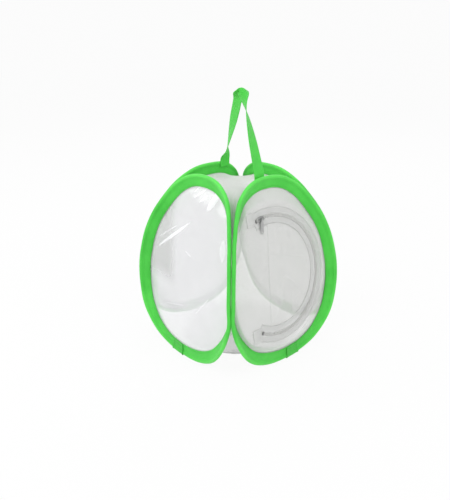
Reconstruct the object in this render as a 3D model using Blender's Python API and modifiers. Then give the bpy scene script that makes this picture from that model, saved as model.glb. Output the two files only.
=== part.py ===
"""Pop-up insect cage: four sprung hoops in folded bindings, panels, a zipped door and a strap.

Metres, +Z up. The origin lies on the ground below the middle of the cage. The door panel faces +X
and the clear window faces -Y.
"""

import math

import bmesh
import bpy
from mathutils import Matrix, Vector

# Space kept between pieces that touch
gap = 0.0003

# Hoops, measured along the middle of the binding
hoop_height = 0.280
hoop_width = 0.227
foot_spread = 0.2428
crown_spread = 0.1350

# Binding: cloth folded round the wire and sewn shut over the edge of the panel
binding_width = 0.020
binding_cloth = 0.0008
fold_room_radius = 0.0024
wire_radius = 0.0010
ferrule_length = 0.010
ferrule_wall = 0.0003
lap_length = 0.026
lap_place = 0.012
lap_setback = 0.0015
ferrule_sides = 12

# Panels
net_thickness = 0.0006
film_thickness = 0.0005
floor_thickness = 0.0008
top_dip = 0.017
floor_flat_radius = 0.080
panel_edge_run = 0.0015
corner_run = 0.003

# Zip, in the plane of the door
zip_radius = 0.0945
zip_across = -0.0135
tape_width = 0.0130
tape_thickness = 0.0006
zip_split = 0.0014
row_width = 0.0022
row_thickness = 0.0014
tooth_pitch = 0.0034
tooth_share = 0.58
tooth_depth = 0.0009
stop_length = 0.0025
patch_thickness = 0.0006
patch_width = 0.016
patch_height = 0.021
patch_along = 0.0104
patch_outward = 0.0074
net_lap = 0.0085
slider_way_gap = 0.0012
cut_reach = 0.080

slider_angle = math.radians(100.9)
slider_park_angle = math.radians(-113.0)
top_end_angle = math.radians(105.4)
foot_end_angle = math.radians(-117.5)
tape_spare_angle = math.radians(4.5)
fold_top_angle = math.radians(92.0)
fold_foot_angle = math.radians(-106.5)
row_clear_angle = math.radians(2.4)
tape_clear_angle = math.radians(1.0)
arc_step = math.radians(6.0)

# Slider and pull
slider_length = 0.0120
slider_width = 0.0084
slider_plate = 0.0010
slider_flange = 0.0009
slider_web = 0.0005
bail_radius = 0.0005
bail_span = 0.0082
pull_length = 0.0240
pull_width = 0.0060
pull_thickness = 0.0009
eye_radius = 0.0014
eye_bore = 0.0008
eye_steps = 12
pull_hole_radius = 0.0014
pull_hole_inset = 0.0034
pull_end_steps = 10
pull_rest_angle = math.radians(10.0)

# Carrying strap
strap_width = 0.020
strap_thickness = 0.0010
strap_rise = 0.1185
strap_top_radius = 0.010
strap_tab_height = 0.0135
strap_tip_width = 0.0012
strap_neck = 0.0045
strap_taper = 0.022
strap_front_offset = 0.012
strap_back_offset = 0.028
strap_leg_steps = 24
strap_top_steps = 8
strap_tab_rise = 0.0030
strap_hinge_rise = strap_tip_width / 2 + gap

weld_distance = 0.000003
tangent_step = 0.05

# Rows of the hoop from foot to crown: height share, half-width share, lean towards the seam
hoop_shares = (
    (0.000, 0.000, 0.00),
    (0.016, 0.358, 0.10),
    (0.075, 0.668, 0.35),
    (0.185, 0.884, 0.75),
    (0.317, 0.994, 1.00),
    (0.443, 0.987, 1.00),
    (0.552, 0.953, 1.00),
    (0.652, 0.902, 1.00),
    (0.753, 0.820, 1.00),
    (0.845, 0.694, 0.70),
    (0.927, 0.531, 0.35),
    (0.985, 0.285, 0.10),
    (1.000, 0.000, 0.00),
)
# Shares of the way from the seam out to the foot, and from the seam in to the crown
foot_out_shares = (1.00, 0.95, 0.90, 0.85)
crown_in_shares = (0.353, 0.695, 0.919, 1.00)
first_seam_row = 4
last_seam_row = 8
rows_per_turn = 2 * (len(hoop_shares) - 1)

ring_shares = (0.85, 0.50)
net_ring_shares = (0.75, 0.42)
membrane_power = 3
# Share of the strap's length from the front root, and share of its one full turn
strap_turn_shares = (
    (0.00, 0.000),
    (0.05, 0.045),
    (0.20, 0.085),
    (0.355, 0.170),
    (0.455, 0.430),
    (0.50, 0.500),
    (0.65, 0.610),
    (0.84, 0.805),
    (0.94, 0.870),
    (1.00, 1.000),
)
door_zone_share = 0.97
zip_height_share = 0.5006
fold_outer_angles = tuple(math.radians(angle) for angle in (75, 150, 210, 285))

leg_inside = net_thickness / 2 + gap
leg_outside = leg_inside + binding_cloth
fold_radius = fold_room_radius + binding_cloth
leg_start = 2 * fold_radius
seam_offset = fold_radius + gap / 2
lap_skin = binding_cloth + gap
lap_low = fold_radius + (fold_radius + lap_skin) * math.cos(fold_outer_angles[1])
foot_height = binding_width / 2 - lap_low
ferrule_radius = wire_radius + gap + ferrule_wall
fold_room_back = fold_radius + fold_room_radius * math.cos(fold_outer_angles[1])
wire_inset = fold_room_back + gap + ferrule_radius
slider_room = slider_width / 2 + slider_way_gap

panel_turns = {"window": 0, "door": math.pi / 2, "back": math.pi, "left": -math.pi / 2}


def clear_scene():
    for item in list(bpy.data.objects):
        bpy.data.objects.remove(item)


def make_collection(name, helpers=False):
    collection = bpy.data.collections.new(name)
    bpy.context.scene.collection.children.link(collection)
    collection.hide_render = helpers
    return collection


def make_material(name, color, roughness, metallic=0.0, alpha=1.0):
    material = bpy.data.materials.new(name)
    material.use_nodes = True
    shader = material.node_tree.nodes["Principled BSDF"]
    shader.inputs["Base Color"].default_value = (*color, 1.0)
    shader.inputs["Roughness"].default_value = roughness
    shader.inputs["Metallic"].default_value = metallic
    shader.inputs["Alpha"].default_value = alpha
    return material


def place(item, parent=None, location=(0, 0, 0), rotation=(0, 0, 0)):
    item.parent = parent
    item.location = location
    item.rotation_euler = rotation
    return item


def add_object(name, data, color):
    item = bpy.data.objects.new(name, data)
    data.materials.append(materials[color])
    parts.objects.link(item)
    return item


def add_empty(name, parent=None, location=(0, 0, 0), rotation=(0, 0, 0)):
    item = bpy.data.objects.new(name, None)
    item.empty_display_size = binding_width
    parts.objects.link(item)
    return place(item, parent, location, rotation)


def smooth(item, angle=math.radians(40)):
    item.data.shade_smooth()
    item.data.set_sharp_from_angle(angle=angle)
    return item


def loft(name, rings, color, run_closed=False, capped=False, centre=None, flips=None):
    """Surface of triangles through closed rings of equal count; a centre point ends it with a fan.

    Each four-sided patch is split from one ring's point to the next point of the next ring, or the
    other way where flips says so, so that layers that lie on each other are split alike.
    """
    mesh = bmesh.new()
    rows = [[mesh.verts.new(point) for point in ring] for ring in rings]
    pairs = list(zip(rows, rows[1:]))
    if run_closed:
        pairs.append((rows[-1], rows[0]))
    for one, two in pairs:
        for i in range(len(one)):
            j = (i + 1) % len(one)
            if flips and flips[i]:
                mesh.faces.new((one[i], one[j], two[i]))
                mesh.faces.new((one[j], two[j], two[i]))
            else:
                mesh.faces.new((one[i], one[j], two[j]))
                mesh.faces.new((one[i], two[j], two[i]))
    if capped:
        mesh.faces.new(rows[0][::-1])
        mesh.faces.new(rows[-1])
    if centre is not None:
        hub = mesh.verts.new(centre)
        last = rows[-1]
        for i in range(len(last)):
            mesh.faces.new((last[i], last[(i + 1) % len(last)], hub))
    bmesh.ops.recalc_face_normals(mesh, faces=mesh.faces)
    data = bpy.data.meshes.new(name)
    mesh.to_mesh(data)
    mesh.free()
    return smooth(add_object(name, data, color))


def thicken(item, thickness, even=True):
    solidify = item.modifiers.new("Thickness", "SOLIDIFY")
    solidify.thickness = thickness
    solidify.offset = 0
    solidify.use_even_offset = even
    return item


def poly_curve(name, splines, closed, dimensions):
    curve = bpy.data.curves.new(name, "CURVE")
    curve.dimensions = dimensions
    for points in splines:
        spline = curve.splines.new("POLY")
        spline.points.add(len(points) - 1)
        for slot, point in zip(spline.points, points):
            slot.co = (*point, 1.0) if len(point) == 3 else (*point, 0.0, 1.0)
        spline.use_cyclic_u = closed
    return curve


def plate(name, outlines, bottom, thickness, color, parent=None, location=(0, 0, 0)):
    """Flat piece cut to an outline, lying between bottom and bottom + thickness."""
    curve = poly_curve(name, outlines, True, "2D")
    curve.fill_mode = "BOTH"
    curve.extrude = thickness / 2
    x, y, z = location
    return place(add_object(name, curve, color), parent, (x, y, z + bottom + thickness / 2))


def tube(name, points, radius, color, closed=False):
    curve = poly_curve(name, [points], closed, "3D")
    curve.bevel_depth = radius
    curve.bevel_resolution = 2
    curve.use_fill_caps = not closed
    return add_object(name, curve, color)


def as_mesh(item):
    """The same object with its curve turned into a welded mesh."""
    bpy.context.view_layer.update()
    graph = bpy.context.evaluated_depsgraph_get()
    data = bpy.data.meshes.new_from_object(item.evaluated_get(graph))
    welded = bmesh.new()
    welded.from_mesh(data)
    bmesh.ops.remove_doubles(welded, verts=welded.verts, dist=weld_distance)
    bmesh.ops.recalc_face_normals(welded, faces=welded.faces)
    welded.to_mesh(data)
    welded.free()
    made = bpy.data.objects.new(item.name, data)
    item.users_collection[0].objects.link(made)
    place(made, item.parent, item.location, item.rotation_euler)
    name = item.name
    bpy.data.objects.remove(item)
    made.name = name
    return made


def combine(item, other, operation):
    """Boolean of item with other, which becomes a hidden helper."""
    for owner in list(other.users_collection):
        owner.objects.unlink(other)
    cutters.objects.link(other)
    other.hide_render = True
    other.display_type = "WIRE"
    boolean = item.modifiers.new(operation.title(), "BOOLEAN")
    boolean.operation = operation
    boolean.object = other
    return item


def arc(radius, start, end):
    steps = max(1, math.ceil(abs(end - start) / arc_step))
    angles = [start + (end - start) * i / steps for i in range(steps + 1)]
    return [(radius * math.cos(angle), radius * math.sin(angle)) for angle in angles]


def sector(inner, outer, start, end):
    return arc(outer, start, end) + arc(inner, end, start)


def toothed_sector(edge, back, start, end):
    """Sector with teeth on the edge that faces the other row, and a plain back."""
    count = round(abs(end - start) * edge / tooth_pitch)
    step = (end - start) / count
    root = edge + math.copysign(tooth_depth, back - edge)
    outline = []
    for i in range(count):
        angle = start + step * i
        flank = angle + step * tooth_share
        turns = ((edge, angle), (edge, flank), (root, flank), (root, angle + step))
        outline += [(radius * math.cos(turn), radius * math.sin(turn)) for radius, turn in turns]
    return outline + arc(back, end, start)


def rectangle(width, height, across=0.0, up=0.0):
    sides = ((-1, -1), (1, -1), (1, 1), (-1, 1))
    return [(across + x * width / 2, up + y * height / 2) for x, y in sides]


def hoop_row(row):
    """(across, out, height, lean) of one row; rows past the crown run down the left side."""
    row %= rows_per_turn
    side = 1
    if row > rows_per_turn // 2:
        row = rows_per_turn - row
        side = -1
    height_share, width_share, lean = hoop_shares[row]
    low = hoop_shares[first_seam_row][1] * hoop_width / 2 + math.sqrt(2) * seam_offset
    high = hoop_shares[last_seam_row][1] * hoop_width / 2 + math.sqrt(2) * seam_offset
    across = width_share * hoop_width / 2
    if row < first_seam_row:
        out = low + (foot_spread / 2 - low) * foot_out_shares[row]
    elif row > last_seam_row:
        out = high + (crown_spread / 2 - high) * crown_in_shares[row - last_seam_row - 1]
    else:
        out = across + math.sqrt(2) * seam_offset
    return side * across, out, height_share * hoop_height + foot_height, lean


def hoop_at(place_on_rows):
    """Smooth path through the rows: point in the panel's frame and lean."""
    row = math.floor(place_on_rows)
    t = place_on_rows - row
    before, start, end, after = (hoop_row(row + step) for step in (-1, 0, 1, 2))
    values = [
        b + 0.5 * t * (c - a + t * (2 * a - 5 * b + 4 * c - d + t * (3 * (b - c) + d - a)))
        for a, b, c, d in zip(before, start, end, after)
    ]
    across, out, height, lean = values
    return Vector((across, -out, height)), min(max(lean, 0.0), 1.0)


def station_rows():
    half = []
    for row in range(rows_per_turn // 2):
        half.append(float(row))
        if not first_seam_row <= row < last_seam_row:
            half.append(row + 0.5)
    crown = rows_per_turn / 2
    return half + [crown] + [rows_per_turn - row for row in half[:0:-1]]


def station(row):
    """(middle, inward, face) of the binding at a row: inward runs from wire to panel, face points out."""
    middle, lean = hoop_at(row)
    ahead, _ = hoop_at(row + tangent_step)
    behind, _ = hoop_at(row - tangent_step)
    tangent = (ahead - behind).normalized()
    inward = Vector((-tangent.z, 0, tangent.x)).normalized() + Vector((0, lean, 0))
    inward = (inward - inward.dot(tangent) * tangent).normalized()
    face = tangent.cross(inward).normalized()
    if face.y > 0:
        face = -face
    return middle, inward, face


def at_station(row, depth, lift=0.0):
    """Point of the binding's section: depth from the outer edge, lift towards the outside."""
    if row in stations:
        middle, inward, face = stations[row]
        return middle + inward * (depth - binding_width / 2) + face * lift
    rows = [*stations, float(rows_per_turn)]
    after = next(i for i, other in enumerate(rows) if other > row % rows_per_turn)
    start, end = rows[after - 1], rows[after]
    share = (row % rows_per_turn - start) / (end - start)
    first = at_station(start, depth, lift)
    return first.lerp(at_station(end % rows_per_turn, depth, lift), share)


def fold_points(radius, angles):
    return [(fold_radius + radius * math.cos(a), radius * math.sin(a)) for a in angles]


def binding_section():
    """Open C: legs, round fold, and the room inside for wire and panel edge."""
    outer = fold_points(fold_radius, fold_outer_angles)
    inner = fold_points(fold_room_radius, fold_outer_angles)
    return (
        [(binding_width, leg_outside), (leg_start, leg_outside)]
        + outer
        + [(leg_start, -leg_outside), (binding_width, -leg_outside)]
        + [(binding_width, -leg_inside), (leg_start, -leg_inside)]
        + inner[::-1]
        + [(leg_start, leg_inside), (binding_width, leg_inside)]
    )


def lap_section():
    """The same C one cloth further out, closed to a single layer."""
    outer = fold_points(fold_radius + lap_skin, fold_outer_angles)
    inner = fold_points(fold_radius + gap, fold_outer_angles)
    reach = leg_outside + lap_skin
    end = binding_width - lap_setback
    return (
        [(end, reach), (leg_start, reach)]
        + outer
        + [(leg_start, -reach), (end, -reach)]
        + [(end, -leg_outside - gap), (leg_start, -leg_outside - gap)]
        + inner[::-1]
        + [(leg_start, leg_outside + gap), (end, leg_outside + gap)]
    )


def swept(name, rows, section, color, run_closed):
    rings = [[at_station(row, depth, lift) for depth, lift in section] for row in rows]
    depths = [depth for depth, _ in section]
    flips = [one > two for one, two in zip(depths, depths[1:] + depths[:1])]
    return loft(name, rings, color, run_closed=run_closed, capped=not run_closed, flips=flips)


def make_hoop(side, lap_side):
    turn = (0, 0, panel_turns[side])
    rows = list(stations)
    rows_per_metre = 1 / (hoop_at(1)[0] - hoop_at(0)[0]).length
    band = swept(f"{side}_binding", rows, binding_section(), "binding", True)
    end = gap / 2 * rows_per_metre
    wire_rows = [end, *(row for row in rows if row > 0), rows_per_turn - end]
    wire_points = [at_station(row, wire_inset) for row in wire_rows]
    wire = tube(f"{side}_hoop_wire", wire_points, wire_radius, "steel")
    ferrule = make_ferrule(f"{side}_wire_ferrule")
    middle = lap_side * lap_place * rows_per_metre
    reach = lap_length * rows_per_metre / 2
    inner_rows = [row for row in (-0.5, 0.0, 0.5) if abs(row - middle) < reach]
    lap_rows = [middle - reach, *inner_rows, middle + reach]
    lap = swept(f"{side}_binding_lap", lap_rows, lap_section(), "binding", False)
    for item in (band, wire, lap):
        place(item, None, (0, 0, 0), turn)
    place(ferrule, None, Matrix.Rotation(turn[2], 3, "Z") @ at_station(0.0, wire_inset), turn)


def make_ferrule(name):
    mesh = bmesh.new()
    radius = wire_radius + gap
    turned = Matrix.Rotation(math.pi / 2, 4, "Y")
    bmesh.ops.create_cone(
        mesh,
        segments=ferrule_sides,
        radius1=radius,
        radius2=radius,
        depth=ferrule_length,
        matrix=turned,
    )
    data = bpy.data.meshes.new(name)
    mesh.to_mesh(data)
    mesh.free()
    item = smooth(add_object(name, data, "steel"))
    thicken(item, ferrule_wall).modifiers[0].offset = 1
    return item


def edge_rings():
    """The panel's edge in the slot of the binding, and where it leaves it."""
    depths = (leg_start + gap, binding_width, binding_width + panel_edge_run)
    return [[at_station(row, depth) for row in stations] for depth in depths]


def door_plane():
    """(height, inset, tilt) of the flat part of a panel, through two rows of its edge."""
    low = at_station(float(first_seam_row + 1), binding_width)
    high = at_station(float(last_seam_row), binding_width)
    tilt = math.atan2(high.y - low.y, high.z - low.z)
    height = hoop_height * zip_height_share + foot_height
    inset = low.y + (height - low.z) * math.tan(tilt)
    return height, inset, tilt


def on_plane(across, height):
    level, inset, tilt = door_plane()
    return Vector((across, inset + (height - level) * math.tan(tilt), height))


def membrane(name, thickness, color):
    """Panel that leaves its edge and settles to the common plane."""
    rings = edge_rings()
    edge = rings[-1]
    centre = on_plane(zip_across, door_plane()[0])
    for share in ring_shares:
        ring = []
        for point in edge:
            flat = centre.lerp(point, share)
            base = on_plane(flat.x, flat.z)
            rise = point.y - on_plane(point.x, point.z).y
            ring.append(base + Vector((0, rise * share**membrane_power, 0)))
        rings.append(ring)
    return thicken(loft(name, rings, color, centre=centre), thickness)


def door_panel(name):
    """Panel whose middle is flat, so that the zip lies in one plane."""
    rings = edge_rings()
    level, _, tilt = door_plane()
    reach = zip_radius + tape_width + net_lap
    ring = []
    for point in rings[-1]:
        across = point.x - zip_across
        up = (point.z - level) / math.cos(tilt)
        length = math.hypot(across, up)
        kept = min(reach, door_zone_share * length) / length
        ring.append(on_plane(zip_across + across * kept, level + up * kept * math.cos(tilt)))
    rings.append(ring)
    centre = on_plane(zip_across, level)
    return thicken(loft(name, rings, "net", centre=centre), net_thickness)


def crown_line():
    """Where the top net meets the hoops: on the back of the bindings, and at the seams between them."""
    rows = [row for row in stations if last_seam_row < row < rows_per_turn - last_seam_row]
    return corner_line(rows[::-1], float(rows_per_turn - last_seam_row), net_thickness)


def foot_line():
    rows = [row - rows_per_turn for row in stations if row > rows_per_turn - first_seam_row]
    rows += [row for row in stations if row < first_seam_row]
    return corner_line(rows, float(-first_seam_row), floor_thickness)


def corner_line(rows, corner_row, thickness):
    line = []
    lift = -leg_outside - gap - thickness
    for turn in sorted(panel_turns.values()):
        spin = Matrix.Rotation(turn, 3, "Z")
        corner = at_station(corner_row % rows_per_turn, binding_width + corner_run)
        reach = (abs(corner.x) + abs(corner.y)) / 2
        line.append(spin @ Vector((-reach, -reach, corner.z)))
        line += [spin @ at_station(row % rows_per_turn, binding_width + gap, lift) for row in rows]
    return line


def make_top_net():
    line = crown_line()
    peak = max(point.z for point in line)
    centre = Vector((0, 0, peak - top_dip))
    rings = [line]
    for share in net_ring_shares:
        rings.append(
            [
                Vector((p.x * share, p.y * share, centre.z + (p.z - centre.z) * share**2))
                for p in line
            ]
        )
    return thicken(loft("top_net", rings, "net", centre=centre), net_thickness, even=False)


def make_floor():
    """Floor cloth: flat on the ground in the middle, rising to the feet and corners of the hoops."""
    line = foot_line()
    ring = []
    for point in line:
        share = floor_flat_radius / math.hypot(point.x, point.y)
        ring.append(Vector((point.x * share, point.y * share, floor_thickness / 2)))
    item = loft("floor_cloth", [line, ring], "floor", centre=(0, 0, floor_thickness / 2))
    return thicken(item, floor_thickness, even=False)


def opening_outline():
    """Way through the panel: the door and the two runs where only the slider passes."""
    outer = zip_radius + slider_room
    inner = zip_radius - slider_room
    return (
        arc(outer, top_end_angle, foot_end_angle)
        + arc(inner, foot_end_angle, fold_foot_angle)
        + arc(inner, fold_top_angle, top_end_angle)
    )


def fold_line():
    """(foot, direction) of the line about which the door turns."""
    inner = zip_radius - slider_room
    foot = Vector((inner * math.cos(fold_foot_angle), inner * math.sin(fold_foot_angle), 0))
    top = Vector((inner * math.cos(fold_top_angle), inner * math.sin(fold_top_angle), 0))
    return foot, (top - foot).normalized()


def door_outline():
    """Arc inside the slider's way, closed just short of the fold line."""
    clear = 2 * gap / zip_radius
    return arc(zip_radius - slider_room, fold_top_angle - clear, fold_foot_angle + clear)


def make_door(hinge):
    shift = -hinge.location
    lift = net_thickness / 2 + gap
    on_tape = lift + tape_thickness + gap
    inner = zip_radius - tape_width
    outer = zip_radius - zip_split / 2
    tape_angles = (fold_top_angle - tape_clear_angle, fold_foot_angle + tape_clear_angle)
    row_angles = (fold_top_angle - row_clear_angle, fold_foot_angle + row_clear_angle)
    tape = sector(inner, outer, *tape_angles)
    row = toothed_sector(outer, outer - row_width, *row_angles)
    low = -net_thickness / 2
    plate("door_net", [door_outline()], low, net_thickness, "net", hinge, shift)
    plate("zip_door_tape", [tape], lift, tape_thickness, "tape", hinge, shift)
    plate("zip_door_teeth", [row], on_tape, row_thickness, "teeth", hinge, shift)


def make_fixed_zip(frame):
    lift = net_thickness / 2 + gap
    on_tape = lift + tape_thickness + gap
    inner = zip_radius + zip_split / 2
    start = top_end_angle + tape_spare_angle
    end = foot_end_angle - tape_spare_angle
    tape = sector(inner, zip_radius + tape_width, start, end)
    row = toothed_sector(inner, inner + row_width, top_end_angle, foot_end_angle)
    plate("zip_frame_tape", [tape], lift, tape_thickness, "tape", frame)
    plate("zip_frame_teeth", [row], on_tape, row_thickness, "teeth", frame)
    make_zip_end("top", frame, top_end_angle, fold_top_angle, 1)
    make_zip_end("foot", frame, foot_end_angle, fold_foot_angle, -1)


def make_zip_end(end_name, frame, end_angle, fold_angle, turn):
    """Inner tape and teeth past the fold line, the stop on the last teeth, and the patch."""
    lift = net_thickness / 2 + gap
    on_tape = lift + tape_thickness + gap
    edge = zip_radius - zip_split / 2
    tape_angles = (end_angle + turn * tape_spare_angle, fold_angle + turn * tape_clear_angle)
    tape = sector(zip_radius - tape_width, edge, *tape_angles)
    row_end = fold_angle + turn * row_clear_angle
    row = toothed_sector(edge, edge - row_width, end_angle, row_end)
    half = zip_split / 2 + row_width
    near = end_angle + turn * gap / zip_radius
    far = near + turn * stop_length / zip_radius
    stop = sector(zip_radius - half, zip_radius + half, near, far)
    plate(f"zip_{end_name}_tape", [tape], lift, tape_thickness, "tape", frame)
    plate(f"zip_{end_name}_teeth", [row], on_tape, row_thickness, "teeth", frame)
    plate(f"zip_{end_name}_stop", [stop], on_tape, row_thickness, "steel", frame)
    patch_angle = end_angle + turn * patch_along / zip_radius
    patch_radius = zip_radius + patch_outward
    across = patch_radius * math.cos(patch_angle)
    up = patch_radius * math.sin(patch_angle)
    patch = rectangle(patch_width, patch_height, across, up)
    plate(f"zip_{end_name}_patch", [patch], on_tape, patch_thickness, "tape", frame)


def slider_levels():
    """Heights above the door plane: under and over the lower plate, then the upper plate."""
    tape_low = net_thickness / 2 + gap
    row_top = tape_low + tape_thickness + gap + row_thickness
    return tape_low - gap - slider_plate, tape_low - gap, row_top + gap, row_top + gap + slider_plate


def slider_section():
    """Cross-section of the slider: two plates joined by a web, with flanges over the teeth."""
    low, floor_top, roof, top = slider_levels()
    half = slider_width / 2
    flange_low = net_thickness / 2 + gap + tape_thickness + gap
    web = slider_web / 2
    right = [
        (half, low),
        (half, floor_top),
        (web, floor_top),
        (web, roof),
        (half - slider_flange, roof),
        (half - slider_flange, flange_low),
        (half, flange_low),
        (half, top),
    ]
    return right + [(-x, z) for x, z in reversed(right)]


def make_slider(pivot):
    """Slider at the zip's closed end, lengthwise along Y of its own frame."""
    seat = add_empty(
        "slider_seat",
        pivot,
        (zip_radius * math.cos(slider_angle), zip_radius * math.sin(slider_angle), 0),
        (0, 0, slider_angle),
    )
    halves = (-slider_length / 2, slider_length / 2)
    rings = [[(x, y, z) for x, z in slider_section()] for y in halves]
    slider = loft("zip_slider", rings, "steel", capped=True)
    place(slider, seat)
    top = slider_levels()[3]
    bar = bail_height()
    half = bail_span / 2
    points = [
        (0, -half, top - slider_plate / 2),
        (0, -half, bar - bail_radius),
        (0, -half + bail_radius, bar),
        (0, half - bail_radius, bar),
        (0, half, bar - bail_radius),
        (0, half, top - slider_plate / 2),
    ]
    bail = as_mesh(place(tube("bail", points, bail_radius, "steel"), seat))
    combine(slider, bail, "UNION")
    return seat


def bail_height():
    return slider_levels()[3] + gap + eye_radius


def make_pull(seat):
    """Pull tab with a rolled eye round the bail and a rounded, pierced end.

    It hangs towards the middle of the door.
    """
    pivot = add_empty("pull_pivot", seat, (0, 0, bail_height()), (math.pi / 2, 0, 0))
    half = pull_thickness / 2
    start = math.asin(half / eye_radius)
    turn = 2 * math.pi / eye_steps
    eye = []
    for i in range(eye_steps + 1):
        angle = math.pi - start - (2 * math.pi - 2 * start) * i / eye_steps
        eye.append((eye_radius * math.cos(angle), eye_radius * math.sin(angle)))
    tail = [(-pull_length, -half), (-pull_length, half)]
    bore = [(eye_bore * math.cos(turn * i), eye_bore * math.sin(turn * i)) for i in range(eye_steps)]
    blank = pull_width + 2 * gap
    pull = plate("zip_pull", [eye + tail, bore], -blank / 2, blank, "steel", pivot)
    pull.rotation_euler = (0, 0, pull_rest_angle)
    form = plate("pull_form", pull_outline(), -pull_width / 2, pull_width, "steel", pivot)
    form.rotation_euler = (math.pi / 2, 0, pull_rest_angle)
    combine(as_mesh(pull), as_mesh(form), "INTERSECT")


def pull_outline():
    """The pull seen flat: straight past the eye, round at the free end, with a hole there."""
    radius = pull_width / 2
    turns = [math.pi * (0.5 + i / pull_end_steps) for i in range(pull_end_steps + 1)]
    end = radius - pull_length
    rim = [(end + radius * math.cos(turn), radius * math.sin(turn)) for turn in turns]
    reach = 2 * eye_radius
    middle = pull_hole_inset - pull_length
    bore = pull_hole_radius
    hole = [(middle + bore * math.cos(2 * turn), bore * math.sin(2 * turn)) for turn in turns[:-1]]
    return [rim + [(reach, -radius), (reach, radius)], hole]


def strap_root(side, offset):
    """Middle of the tab's top edge, behind the crown of a hoop."""
    crown, _ = hoop_at(rows_per_turn / 2)
    back = crown.y + fold_radius + gap + strap_thickness / 2
    top = crown.z + binding_width / 2 + strap_tab_rise
    return Matrix.Rotation(panel_turns[side], 3, "Z") @ Vector((-offset, back, top))


def make_strap_tab(name, side, offset):
    root = strap_root(side, offset)
    mesh = bmesh.new()
    size = (strap_width, strap_thickness, strap_tab_height)
    bmesh.ops.create_cube(mesh, size=1, matrix=Matrix.Diagonal((*size, 1)))
    data = bpy.data.meshes.new(name)
    mesh.to_mesh(data)
    mesh.free()
    drop = Vector((0, 0, strap_tab_height / 2))
    place(add_object(name, data, "binding"), None, root - drop, (0, 0, panel_turns[side]))


def strap_path(length):
    """Two straight legs and a rounded top, as (along, up) from the front root to the back one."""
    apex = Vector((length / 2, strap_rise))
    slope = apex.normalized()
    run = apex.length - strap_top_radius
    front = [slope * (run * i / strap_leg_steps) for i in range(strap_leg_steps + 1)]
    back = [Vector((length - p.x, p.y)) for p in reversed(front)]
    top = []
    for i in range(1, strap_top_steps):
        t = i / strap_top_steps
        top.append(front[-1].lerp(apex, t).lerp(apex.lerp(back[0], t), t))
    return front + top + back


def strap_turn(share):
    """Share of the full turn reached at a share of the strap's length, smooth through the table."""
    table = strap_turn_shares
    low = max(i for i in range(len(table) - 1) if table[i][0] <= max(share, 0))
    (start, a), (end, b) = table[low : low + 2]
    before = table[max(low - 1, 0)]
    after = table[min(low + 2, len(table) - 1)]
    t = (share - start) / (end - start)
    leave = (b - before[1]) / (end - before[0]) * (end - start)
    arrive = (after[1] - a) / (after[0] - start) * (end - start)
    rise = t * t * (3 - 2 * t)
    return a + (b - a) * rise + t * (1 - t) * ((1 - t) * leave - t * arrive)


def strap_hinge():
    """Ends of the line between the strap's two roots, about which it swings."""
    rise = Vector((0, 0, strap_hinge_rise))
    front = strap_root("door", strap_front_offset) + rise
    back = strap_root("left", strap_back_offset) + rise
    return front, back


def make_strap():
    """Ribbon with one full twist from root to root, turning about the line between its roots."""
    front, back = strap_hinge()
    line = back - front
    along = line.normalized()
    across = Vector((0, 0, 1)).cross(along)
    path = strap_path(line.length)
    total = sum((b - a).length for a, b in zip(path, path[1:]))
    travelled = 0.0
    rings = []
    for i, point in enumerate(path):
        if i:
            travelled += (point - path[i - 1]).length
        heading = path[min(i + 1, len(path) - 1)] - path[max(i - 1, 0)]
        tangent = (along * heading.x + Vector((0, 0, heading.y))).normalized()
        flat = tangent.cross(across)
        twist = 2 * math.pi * strap_turn(travelled / total)
        wide = across * math.cos(twist) + flat * math.sin(twist)
        thin = tangent.cross(wide)
        near_end = min(travelled, total - travelled) - strap_neck
        grow = min(1.0, max(0.0, near_end) / strap_taper)
        width = strap_tip_width + (strap_width - strap_tip_width) * grow * (2 - grow)
        middle = along * point.x + Vector((0, 0, point.y))
        section = rectangle(width, strap_thickness)
        rings.append([middle + wide * x + thin * y for x, y in section])
    strap = loft("carry_strap", rings, "binding", capped=True, flips=(False, False, True, False))
    place(strap, None, front)


def make_panels():
    turns = panel_turns
    place(membrane("window_film", film_thickness, "film"), rotation=(0, 0, turns["window"]))
    for side in ("back", "left"):
        place(membrane(f"{side}_net", net_thickness, "net"), rotation=(0, 0, turns[side]))
    panel = place(door_panel("door_panel_net"), rotation=(0, 0, turns["door"]))
    return panel


def make_door_side(panel):
    level, inset, tilt = door_plane()
    turn = panel_turns["door"]
    centre = Matrix.Rotation(turn, 3, "Z") @ Vector((zip_across, inset, level))
    frame = add_empty("zip_centre", None, centre, (math.pi / 2 - tilt, 0, turn))
    way = plate("door_way", [opening_outline()], -cut_reach / 2, cut_reach, "net", frame)
    combine(panel, as_mesh(way), "DIFFERENCE")
    foot, _ = fold_line()
    hinge = add_empty("door_hinge", frame, foot + Vector((0, 0, net_thickness / 2)))
    make_door(hinge)
    make_fixed_zip(frame)
    pivot = add_empty("slider_pivot", frame)
    seat = make_slider(pivot)
    make_pull(seat)
    report_frames(frame, hinge, seat)


def show(label, vector):
    print(label, tuple(round(value, 6) for value in vector))


def report_frames(frame, hinge, seat):
    """Prints the joint axes in world coordinates."""
    bpy.context.view_layer.update()
    turn = frame.matrix_world.to_3x3()
    _, direction = fold_line()
    show("slider centre", frame.matrix_world.translation)
    show("slider axis", turn @ Vector((0, 0, 1)))
    print("slider travel", round(math.degrees(slider_angle - slider_park_angle), 2))
    show("door hinge", hinge.matrix_world.translation)
    show("door hinge axis", turn @ direction)
    show("pull pivot", seat.matrix_world @ Vector((0, 0, bail_height())))
    show("pull axis", seat.matrix_world.to_3x3() @ Vector((0, 1, 0)))
    front, back = strap_hinge()
    show("strap hinge", front)
    show("strap hinge axis", (back - front).normalized())


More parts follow.
